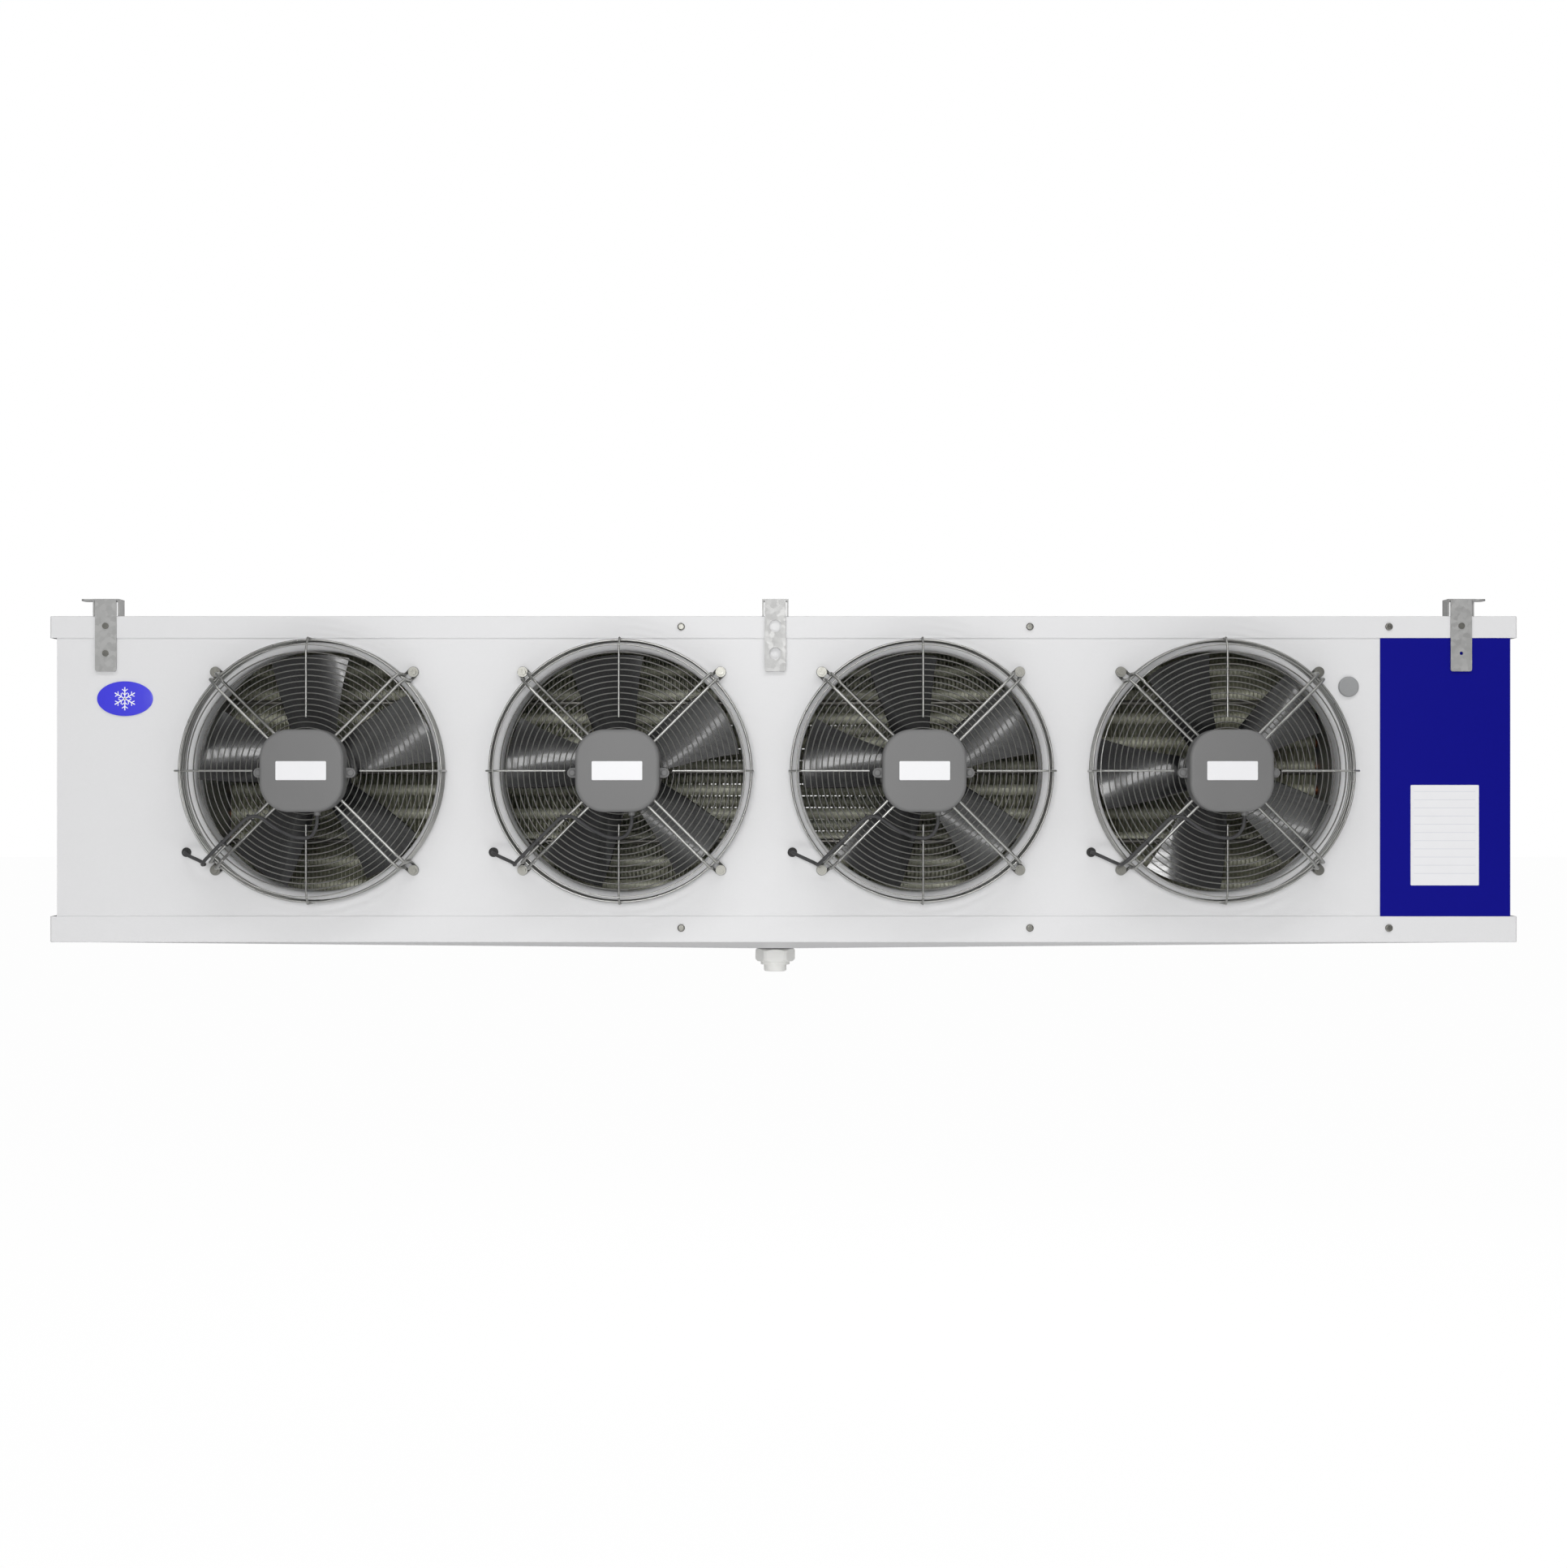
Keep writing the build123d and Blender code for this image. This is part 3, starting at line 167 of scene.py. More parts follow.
class CrystalSizes(bpy.types.PropertyGroup):
    """Snow crystals on the badges; the shares are of an arm's length."""
    arm: length("Front arm", "Arm of the crystal on the front badge", 17.0)
    end_arm: length("End arm", "Arm of the crystals on the end badges", 26.0)
    thickness: length("Print", "Thickness of the print", 0.3)
    twig_thickness: ratio("Twig thickness", "Thickness of a twig over that of an arm", 0.9)
    arm_width: ratio("Arm width", "Width of an arm", 0.09)
    twig_width: ratio("Twig width", "Width of a twig", 0.07)
    twig_length: ratio("Twig length", "Length of a twig", 0.3)
    twig_start: ratio("Twig start", "From the middle to the first pair of twigs", 0.34)
    twig_run: ratio("Twig run", "Stretch of an arm that bears twigs", 0.62)
    twig_angle: angle("Twig angle", "Between a twig and its arm", 55)
    arms: whole("Arms", "Arms of a crystal", 6)
    pairs: whole("Twig pairs", "Pairs of twigs on an arm", 2)


class GuardSizes(bpy.types.PropertyGroup):
    """Wires of a fan guard."""
    ring_wire: length("Ring wire radius", "Radius of the face rings' wire", 0.95)
    edge_wire: length("Edge wire radius", "Radius of the side rings' wire", 1.5)
    spoke_wire: length("Spoke wire radius", "Radius of the single radial wires", 1.5)
    strut_wire: length("Strut wire radius", "Radius of the double radial wires", 2.2)
    inner: length("Inner ring", "Radius of the smallest face ring", 62.0)
    outer: length("Outer ring", "Radius of the largest face ring", 171.0)
    shoulder: length("Shoulder ring", "Radius of the ring on the shoulder", 182.0)
    side: length("Side rings", "Radius of the rings down the side", 190.0)
    front: length("Strut plane", "Strut wires in front of the casing", 60.0)
    strut_start: length("Strut start", "Radius where the struts start at the motor", 52.0)
    strut_half: length("Strut half width", "Half the distance between a strut's wires", 6.0)
    lug: length("Lug screw radius", "Radius of the circle of lug screws", 205.0)
    bend: length("Bend radius", "Radius of the wires' bends", 5.0)
    corner: length("Corner", "Depth behind the face rings without side rings", 14.5)
    ring_weld: length("Ring weld", "How far the face rings sink into the struts", 0.3)
    side_weld: length("Side weld", "How far the radial wires sink into the side rings", 0.5)
    gap: length("Gap", "Between the wires and the casing", 0.3)
    face_rings: whole("Face rings", "Flat rings across the front", 14)
    side_rings: whole("Side rings", "Rings down the side", 4)


class TieSizes(bpy.types.PropertyGroup):
    """Ties round each motor's lead and the strut beside it."""
    ties: whole("Ties", "Ties on one lead", 2)
    turn: angle("Turn", "Direction of the strut, round the fan's axis", 225)
    first: length("First tie", "From the fan's axis to the first tie", 104.0)
    step: length("Step", "From one tie to the next", 52.0)
    across: length("Across", "Middle of the tie beside the strut's line", 8.7)
    ahead: length("Ahead", "Middle of the tie in front of the casing", 62.7)
    long: length("Long half", "Half the length of a tie's loop", 7.0)
    wide: length("Wide half", "Half the width of a tie's loop", 3.3)
    band: length("Band", "Width of the band", 2.4)
    wall: length("Wall", "Thickness of the band", 0.8)


class StageSettings(bpy.types.PropertyGroup):
    """Camera, floor and light."""
    lens: bpy.props.FloatProperty(name="Lens", description="Focal length", default=50,
                                  unit="CAMERA")
    distance: length("Distance", "Camera in front of the casing", 3192.0)
    camera_drop: length("Camera drop", "Camera below the top of the casing", 246.0)
    floor_drop: length("Floor drop", "Floor below the top of the casing", 1700.0)
    floor_half: length("Floor half", "Half the side of the floor", 40000.0)
    floor_grey: ratio("Floor grey", "Share of light that the floor throws back", 0.82)
    floor_glow: ratio("Floor glow", "Brightness that the camera sees on the floor", 1.04)
    floor_share: ratio("Floor share", "Share of that glow in what the camera sees", 0.93)
    ambient: ratio("Ambient", "Strength of the sky", 0.30)
    gloss: ratio("Gloss", "Strength of the sky in gloss", 0.22)
    key: power("Key lamp", "Power of the lamp overhead", 42)
    fill: power("Fill lamp", "Power of the lamp behind the camera", 70)
    low: power("Low lamp", "Power of the narrow lamp below", 12)
    rear: power("Rear lamp", "Power of the rear lamp", 40)


# Each lamp's place and size in metres
LAMPS = {
    "key": ((0.4, -1.9, 2.3), (4.4, 0.5)),
    "fill": ((-0.3, -4.8, 0.2), (1.6, 1.0)),
    "low": ((0.3, -1.7, -1.6), (5.0, 0.16)),
    "rear": ((0.8, 3.6, 1.4), (3.0, 1.6)),
}

GROUPS = {
    "cooler_casing": CasingFinish,
    "cooler_labels": LabelFinish,
    "cooler_crystals": CrystalSizes,
    "cooler_metals": CoilFinish,
    "cooler_coil": CoilSizes,
    "cooler_guards": GuardSizes,
    "cooler_fans": FanFinish,
    "cooler_ties": TieSizes,
    "cooler_stage": StageSettings,
}


# Node graphs

class Socket:
    """A node's output that takes part in sums: each sum adds its Math node."""

    def __init__(self, graph, socket):
        self.graph = graph
        self.socket = socket

    def sibling(self, name):
        """Another output of the same node."""
        return Socket(self.graph, self.socket.node.outputs[name])

    def math(self, operation, *values):
        return self.graph.node("ShaderNodeMath", dict(enumerate(values)), operation=operation)

    def __add__(self, other):
        return self.math("ADD", self, other)

    def __radd__(self, other):
        return self.math("ADD", other, self)

    def __sub__(self, other):
        return self.math("SUBTRACT", self, other)

    def __neg__(self):
        return self.math("SUBTRACT", 0, self)

    def __mul__(self, other):
        return self.math("MULTIPLY", self, other)

    def __truediv__(self, other):
        return self.math("DIVIDE", self, other)

    def __lt__(self, other):
        return self.math("LESS_THAN", self, other)

    def __mod__(self, other):
        return self.math("FLOORED_MODULO", self, other)

    def __abs__(self):
        return self.math("ABSOLUTE", self)

    def floor(self):
        return self.math("FLOOR", self)

    def sine(self):
        return self.math("SINE", self)

    def largest(self, other):
        return self.math("MAXIMUM", self, other)


class Graph:
    """Adds nodes to a shader or Geometry Nodes tree."""

    def __init__(self, tree):
        self.tree = tree

    def node(self, kind, sockets=None, out=0, **settings):
        """A node of a type: its settings first, then the values or links of its sockets."""
        made = self.tree.nodes.new(kind)
        for key, value in settings.items():
            setattr(made, key, value)
        for key, value in (sockets or {}).items():
            for one in value if isinstance(value, list) else [value]:
                self.plug(one, made.inputs[key])
        return Socket(self, made.outputs[out]) if made.outputs else None

    def plug(self, value, target):
        if isinstance(value, Socket):
            self.tree.links.new(value.socket, target)
        else:
            target.default_value = value

    def split(self, vector):
        """The X, Y and Z of a vector."""
        x = self.node("ShaderNodeSeparateXYZ", {"Vector": vector})
        return x, x.sibling("Y"), x.sibling("Z")


def shade(tone, factors):
    """A colour times one factor, or times one for each channel."""
    if isinstance(factors, float):
        factors = (factors,) * 3
    return tuple(min(1.0, channel * factor) for channel, factor in zip(tone, factors))


class Finish(Graph):
    """A material with one Principled shader."""

    LOW, HIGH, MIXED = 6, 7, 2  # the Mix node's two colours and its result

    def __init__(self, name, base, **fixed):
        self.material = bpy.data.materials.new(name)
        self.material.use_nodes = True
        super().__init__(self.material.node_tree)
        self.shader = self.tree.nodes["Principled BSDF"]
        self.base = base
        self.plug((*base, 1.0), self.shader.inputs["Base Color"])
        for key, value in fixed.items():
            self.plug(value, self.shader.inputs[key.replace("_", " ")])
        self.place = self.node("ShaderNodeTexCoord", out="Object")

    def noise(self, size, detail=3.0, stretch=(1, 1, 1)):
        """Cloudy noise from 0 to 1 whose blotches are about this many metres wide."""
        scaled = self.node("ShaderNodeMapping", {"Vector": self.place, "Scale": stretch})
        return self.node("ShaderNodeTexNoise", {
            "Vector": scaled, "Scale": 1 / size, "Detail": detail})

    def blend(self, share, low, high):
        """A colour that goes from low to high as share goes from 0 to 1."""
        low, high = (end if isinstance(end, Socket) else (*end, 1.0) for end in (low, high))
        return self.node("ShaderNodeMix", {"Factor": share, self.LOW: low, self.HIGH: high},
                         out=self.MIXED, data_type="RGBA")

    def paint(self, tone):
        self.plug(tone, self.shader.inputs["Base Color"])

    def tones(self, share, low, high):
        """The base colour, unevenly shaded between two factors."""
        return self.blend(share, shade(self.base, low), shade(self.base, high))

    def rough(self, level):
        self.plug(level, self.shader.inputs["Roughness"])

    def bump(self, height, distance, strength):
        made = self.node("ShaderNodeBump", {
            "Height": height, "Distance": distance, "Strength": strength})
        self.plug(made, self.shader.inputs["Normal"])


# Finishes

def powder_coat(name, base, gloss=0.36, specular=0.42):
    """Baked powder coat: orange-peel skin, a little unevenness in colour and sheen."""
    skin = Finish(name, base, Specular_IOR_Level=specular)
    cloud = skin.noise(350 * MM, detail=2.0)
    grain = skin.noise(4 * MM, detail=2.0)
    peel = skin.noise(2.2 * MM, detail=1.0)
    skin.paint(skin.tones(cloud * 0.7 + grain * 0.3, low=0.955, high=1.025))
    skin.rough(gloss + cloud * 0.10 + grain * 0.05)
    skin.bump(peel + cloud * 0.5, distance=0.09 * MM, strength=0.55)
    return skin.material


def galvanised(name, base):
    """Hot-dip zinc: flat grey crystals of uneven tone under a thin dull film."""
    skin = Finish(name, base, Metallic=0.55)
    crystal_size = 6.25 * MM
    cells = skin.node("ShaderNodeTexVoronoi", {"Vector": skin.place, "Scale": 1 / crystal_size},
                      out="Color")
    crystal = skin.node("ShaderNodeSeparateColor", {"Color": cells})
    film = skin.noise(50 * MM, detail=4.0)
    skin.paint(skin.tones(crystal * 0.55 + film * 0.45, low=0.80, high=1.12))
    skin.rough(0.36 + crystal * 0.16 + film * 0.10)
    skin.bump(crystal * 0.4 + skin.noise(1 * MM) * 0.6, distance=0.05 * MM, strength=0.4)
    return skin.material


def zinc_wire(name, base, roughness=0.22):
    """Drawn wire with zinc: fine drawing lines and duller patches."""
    skin = Finish(name, base, Metallic=0.9)
    patch = skin.noise(20 * MM)
    fine = skin.noise(0.8 * MM, detail=1.0)
    skin.paint(skin.tones(patch, low=0.72, high=1.08))
    skin.rough(roughness + patch * 0.18)
    skin.bump(fine, distance=0.03 * MM, strength=0.4)
    return skin.material


def turned_steel(name, base):
    """Plated or ground steel: bright, with a slightly yellow and uneven film."""
    skin = Finish(name, base, Metallic=0.85)
    film = skin.noise(6 * MM)
    skin.paint(skin.tones(film, low=0.7, high=(1.1, 1.08, 1.0)))
    skin.rough(0.26 + film * 0.2)
    skin.bump(skin.noise(0.6 * MM), distance=0.03 * MM, strength=0.4)
    return skin.material


def lacquer(name, base, roughness, peel=0.05 * MM):
    """Sprayed lacquer on a casting or a deep-drawn cap."""
    skin = Finish(name, base, Specular_IOR_Level=0.4)
    cloud = skin.noise(60 * MM)
    grain = skin.noise(1.1 * MM, detail=2.0)
    skin.paint(skin.tones(cloud * 0.6 + grain * 0.4, low=0.92, high=1.06))
    skin.rough(roughness + cloud * 0.10)
    skin.bump(grain, distance=peel, strength=0.6)
    return skin.material


def gloss_blade(name, base):
    """Black gloss lacquer on pressed blades, with dust that dulls it in patches."""
    skin = Finish(name, base, Coat_Roughness=0.08, Specular_IOR_Level=1.0)
    dust = skin.noise(50 * MM, detail=5.0)
    fine = skin.noise(3 * MM, detail=2.0)
    waves = skin.noise(12 * MM, detail=1.0)
    skin.paint(skin.tones(dust * dust, low=1.0, high=1.6))
    skin.rough(0.13 + dust * 0.16 + fine * 0.05)
    skin.plug(0.7 + dust * 0.3, skin.shader.inputs["Coat Weight"])
    skin.bump(waves + fine * 0.1, distance=0.4 * MM, strength=0.35)
    return skin.material


def fin_metal(name, base, pitch):
    """Mill-finish aluminium of fins and collars; the collars are ribbed at every fin."""
    skin = Finish(name, base, Metallic=0.3)
    film = skin.noise(30 * MM, detail=4.0, stretch=(1, 1, 3))
    streak = skin.noise(4 * MM, detail=2.0, stretch=(0.3, 1, 1))
    skin.paint(skin.tones(film * 0.6 + streak * 0.4, low=0.78, high=1.1))
    skin.rough(0.42 + film * 0.2)
    x, _, _ = skin.split(skin.place)
    ribs = (x * (2 * pi / pitch)).sine()
    skin.bump(ribs * 0.5 + streak * 0.2, distance=0.4 * MM, strength=0.5)
    return skin.material


def drawn_copper(name, base):
    """Copper or brass gone darker in patches."""
    skin = Finish(name, base, Metallic=1.0)
    tarnish = skin.noise(40 * MM, detail=5.0)
    skin.paint(skin.tones(tarnish, low=0.55, high=1.05))
    skin.rough(0.2 + tarnish * 0.25)
    skin.bump(skin.noise(2 * MM), distance=0.05 * MM, strength=0.4)
    return skin.material


def moulded_plastic(name, base, speck=0.03):
    """Moulded plastic with a fine spark texture and faint flow marks."""
    skin = Finish(name, base, Specular_IOR_Level=0.45)
    flow = skin.noise(30 * MM, detail=2.0, stretch=(1, 1, 0.3))
    grain = skin.noise(0.7 * MM, detail=1.0)
    skin.paint(skin.tones(flow * 0.5 + grain * 0.5, low=1 - speck, high=1 + speck))
    skin.rough(0.42 + grain * 0.08)
    skin.bump(grain + flow * 0.3, distance=0.06 * MM, strength=0.5)
    return skin.material


def rubber(name, base):
    """Matt rubber or cable sheath with a dusty bloom."""
    skin = Finish(name, base, Specular_IOR_Level=0.35)
    bloom = skin.noise(15 * MM, detail=4.0)
    skin.paint(skin.tones(bloom, low=1.0, high=2.2))
    skin.rough(0.5 + bloom * 0.2)
    skin.bump(skin.noise(0.9 * MM), distance=0.06 * MM, strength=0.5)
    return skin.material


def domed_resin(name, base):
    """Clear resin over blue print: deep colour and a smooth wet gloss."""
    skin = Finish(name, base, Coat_Weight=0.8, Coat_Roughness=0.05, Roughness=0.3)
    skin.paint(skin.tones(skin.noise(20 * MM, detail=2.0), low=0.94, high=1.04))
    skin.bump(skin.noise(8 * MM, detail=1.0), distance=0.05 * MM, strength=0.4)
    return skin.material


def label_film(name, labels, node=None):
    """White satin film; with a node, thin ruled lines across that node inside a margin."""
    skin = Finish(name, tuple(labels.film), Specular_IOR_Level=0.4)
    cloud = skin.noise(20 * MM, detail=2.0)
    tone = skin.tones(cloud, low=0.97, high=1.0)
    if node:
        low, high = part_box(node)
        middle, half = (low + high) / 2, (high - low) / 2
        x, _, z = skin.split(skin.place)
        down, side = abs(z - middle.z), abs(x - middle.x)
        line = abs(z % labels.pitch - labels.pitch / 2) < labels.line_half
        inner = half * (1 - labels.margin)
        inside = (down < inner.z) * (side < inner.x)
        tone = skin.blend(line * inside, tone, tuple(labels.ruling))
    skin.paint(tone)
    skin.rough(0.3 + cloud * 0.12)
    skin.bump(skin.noise(3 * MM, detail=1.0), distance=0.03 * MM, strength=0.4)
    return skin.material


def print_ink(name, base):
    """Thin printed ink on a label."""
    skin = Finish(name, base)
    wear = skin.noise(2 * MM)
    skin.paint(skin.tones(wear, low=1.0, high=1.15))
    skin.rough(0.45 + wear * 0.1)
    skin.bump(wear, distance=0.02 * MM, strength=0.3)
    return skin.material


# Pieces

def coat(mesh, material):
    mesh.materials.clear()
    mesh.materials.append(material)


def dress(material, *names):
    """Gives CAD nodes a finish."""
    for name in names:
        coat(frame["nodes"][name].data, material)


def link(name, data):
    made = bpy.data.objects.new(name, data)
    bpy.context.scene.collection.objects.link(made)
    return made


def slot_of(node):
    """The material slot that the record gives a node."""
    for part in frame["record"]["subparts"]:
        if part["node"] == node:
            return part["material_slot"]
    raise RuntimeError(f"no slot for {node}")


def finish_piece(piece, body, slot, *nodes):
    """Gives a piece its body and hides the CAD nodes that it stands for; the slot is not used."""
    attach(piece, body)
    if nodes:
        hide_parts(*nodes)


def smooth_copy(node, name, material, body, crease=32):
    """A copy of a CAD node that shades smoothly up to an angle in degrees, and stands for it."""
    mesh = frame["nodes"][node].data.copy()
    shape = bmesh.new()
    shape.from_mesh(mesh)
    bmesh.ops.remove_doubles(shape, verts=shape.verts, dist=0.002 * MM)
    for face in shape.faces:
        face.smooth = True
    for edge in shape.edges:
        edge.smooth = len(edge.link_faces) == 2 and edge.calc_face_angle(0) < radians(crease)
    shape.to_mesh(mesh)
    shape.free()
    coat(mesh, material)
    finish_piece(link(name, mesh), body, slot_of(node), node)


# Geometry Nodes

class Tree(Graph):
    """A Geometry Nodes tree with named inputs that ends in a mesh of one material."""

    KINDS = {float: "NodeSocketFloat", int: "NodeSocketInt", tuple: "NodeSocketVector",
             bpy.types.Object: "NodeSocketObject"}

    def __init__(self, name, inputs):
        super().__init__(bpy.data.node_groups.new(name, "GeometryNodeTree"))
        for label, value in inputs.items():
            kind = next(kind for known, kind in self.KINDS.items() if isinstance(value, known))
            self.tree.interface.new_socket(label, in_out="INPUT", socket_type=kind)
        self.tree.interface.new_socket("Mesh", in_out="OUTPUT", socket_type="NodeSocketGeometry")
        self.inputs = inputs
        self.given = self.tree.nodes.new("NodeGroupInput")

    def input(self, label):
        return Socket(self, self.given.outputs[label])

    def vector(self, x=0.0, y=0.0, z=0.0):
        return self.node("ShaderNodeCombineXYZ", {"X": x, "Y": y, "Z": z})

    def index(self):
        return self.node("GeometryNodeInputIndex")

    def line(self, count, start=(0, 0, 0), step=(0, 0, 0)):
        return self.node("GeometryNodeMeshLine", {
            "Count": count, "Start Location": start, "Offset": step})

    def circle(self, sides, radius=1.0):
        return self.node("GeometryNodeCurvePrimitiveCircle", {
            "Resolution": sides, "Radius": radius}, mode="RADIUS")

    def cuboid(self, x, y, z):
        return self.node("GeometryNodeMeshCube", {"Size": self.vector(x, y, z)})

    def strip(self, curve, profile, caps=False):
        return self.node("GeometryNodeCurveToMesh", {
            "Curve": curve, "Profile Curve": profile, "Fill Caps": caps})

    def tube(self, curve, radius, sides):
        return self.strip(curve, self.circle(sides, radius), caps=True)

    def moved(self, points, position):
        return self.node("GeometryNodeSetPosition", {"Geometry": points, "Position": position})

    def placed(self, geometry, **sockets):
        """Geometry moved, turned or scaled as a whole."""
        return self.node("GeometryNodeTransform", {"Geometry": geometry, **sockets})

    def copies(self, points, shape, rotation=(0, 0, 0), scale=(1, 1, 1)):
        made = self.node("GeometryNodeInstanceOnPoints", {
            "Points": points, "Instance": shape, "Rotation": rotation, "Scale": scale})
        return self.node("GeometryNodeRealizeInstances", {"Geometry": made})

    def joined(self, *parts):
        return self.node("GeometryNodeJoinGeometry", {"Geometry": list(parts)})

    def grow(self, name, geometry, material, smooth=True):
        """Ends the tree, runs it once and keeps the result as a plain mesh object."""
        shaded = self.node("GeometryNodeSetShadeSmooth", {
            "Geometry": geometry, "Shade Smooth": smooth})
        self.node("NodeGroupOutput", {"Mesh": shaded})
        made = link(name, bpy.data.meshes.new(name))
        grower = made.modifiers.new("grow", "NODES")
        grower.node_group = self.tree
        for item in self.tree.interface.items_tree:
            if item.in_out == "INPUT":
                grower[item.identifier] = self.inputs[item.name]
        made.update_tag()
        seen = bpy.context.evaluated_depsgraph_get()
        made.data = bpy.data.meshes.new_from_object(made.evaluated_get(seen))
        made.modifiers.remove(grower)
        coat(made.data, material)
        return made


# Stage

def rays_seen(graph):
    """1 where a ray comes from the camera, straight or through glass."""
    rays = graph.node("ShaderNodeLightPath", out="Is Camera Ray")
    return rays.largest(rays.sibling("Is Transmission Ray"))


def bare_graph(owner):
    """The emptied node tree of a world or material."""
    owner.use_nodes = True
    owner.node_tree.nodes.clear()
    return Graph(owner.node_tree)


def place_camera(stage):
    """Camera straight in front of the casing."""
    lens = bpy.data.cameras.new("camera")
    lens.lens = stage.lens
    lens.sensor_width = 36
    lens.clip_end = 100
    camera = link("camera", lens)
    camera.location = (0, FRONT - stage.distance, TOP - stage.camera_drop)
    camera.rotation_euler = (pi / 2, 0, 0)
    bpy.context.scene.camera = camera


def light_world(stage):
    """Sky that the camera sees as white, with its own strength in gloss."""
    world = bpy.data.worlds.new("studio")
    bpy.context.scene.world = world
    graph = bare_graph(world)
    glossy = graph.node("ShaderNodeLightPath", out="Is Glossy Ray")
    level = (rays_seen(graph) * (1 - stage.ambient) + glossy * (stage.gloss - stage.ambient)
             + stage.ambient)
    sky = graph.node("ShaderNodeBackground", {"Color": (1, 1, 1, 1), "Strength": level})
    graph.node("ShaderNodeOutputWorld", {"Surface": sky})


def area_lamp(name, watts, place, size):
    """Oblong lamp that shines at the middle of the fans."""
    lamp = bpy.data.lights.new(name, "AREA")
    lamp.shape = "RECTANGLE"
    lamp.size, lamp.size_y = size
    lamp.energy = watts
    made = link(name, lamp)
    made.location = place
    aim = Vector((0, 0, AXIS_Z)) - Vector(place)
    made.rotation_euler = aim.to_track_quat("-Z", "Y").to_euler()


def pale_floor(stage):
    """Wide floor that shows white and keeps a trace of the shadow."""
    mesh = bpy.data.meshes.new("floor")
    shape = bmesh.new()
    bmesh.ops.create_grid(shape, x_segments=8, y_segments=8, size=stage.floor_half)
    bmesh.ops.translate(shape, verts=shape.verts, vec=(0, 0, TOP - stage.floor_drop))
    shape.to_mesh(mesh)
    shape.free()
    material = bpy.data.materials.new("pale floor")
    graph = bare_graph(material)
    grey = (stage.floor_grey, stage.floor_grey, stage.floor_grey, 1)
    plain = graph.node("ShaderNodeBsdfDiffuse", {"Color": grey})
    white = graph.node("ShaderNodeEmission", {
        "Color": (1, 1, 1, 1), "Strength": stage.floor_glow})
    share = rays_seen(graph) * stage.floor_share
    mixed = graph.node("ShaderNodeMixShader", {"Fac": share, 1: plain, 2: white})
    graph.node("ShaderNodeOutputMaterial", {"Surface": mixed})
    mesh.materials.append(material)
    link("floor", mesh)


class COOLER_OT_stage(bpy.types.Operator):
    """Camera, lamps, sky and floor"""
    bl_idname = "cooler.stage"
    bl_label = "Stage"

    def execute(self, context):
        stage = context.scene.cooler_stage
        context.scene.view_settings.view_transform = "Standard"
        place_camera(stage)
        light_world(stage)
        for name, (place, size) in LAMPS.items():
            area_lamp(name, getattr(stage, name), place, size)
        pale_floor(stage)
        return {"FINISHED"}


# Casing

class COOLER_OT_casing(bpy.types.Operator):
    """Powder coat and zinc on the casing, hangers and fittings"""
    bl_idname = "cooler.casing"
    bl_label = "Casing"

    def execute(self, context):
        tones = context.scene.cooler_casing
        white = powder_coat("white powder coat", tuple(tones.white))
        blue = powder_coat("blue powder coat", tuple(tones.blue), gloss=0.42, specular=0.1)
        zinc = galvanised("galvanised sheet", tuple(tones.zinc))
        dress(white, "top_cover", "left_end_panel", "right_end_panel", "front_panel", "drip_tray")
        dress(blue, "service_cover")
        dress(zinc, "left_tube_sheet", "right_tube_sheet", "bay_partitions")
        for place in ("left", "middle", "right"):
            dress(zinc, f"front_hanger_{place}", f"back_hanger_{place}")
        self.fittings(tones)
        return {"FINISHED"}

    def fittings(self, tones):
        """Screws, drain, plug, terminal box, gland and rubbers."""
        steel = turned_steel("plated screws", tuple(tones.screws))
        plastic = moulded_plastic("off-white plastic", tuple(tones.drain))
        grey = moulded_plastic("grey plastic", tuple(tones.plug), speck=0.12)
        smooth = {"casing_screws": steel, "guard_screws": steel, "drain_socket": plastic,
                  "drain_nut": plastic, "blanking_plug": grey}
        for node, material in smooth.items():
            smooth_copy(node, f"{node}_finished", material, "casing")
        dress(moulded_plastic("box plastic", tuple(tones.box)), "terminal_box")
        dress(moulded_plastic("gland plastic", tuple(tones.gland)), "cable_gland")
        dress(rubber("black rubber", tuple(tones.rubber)), "drain_gasket", "lead_grommets")


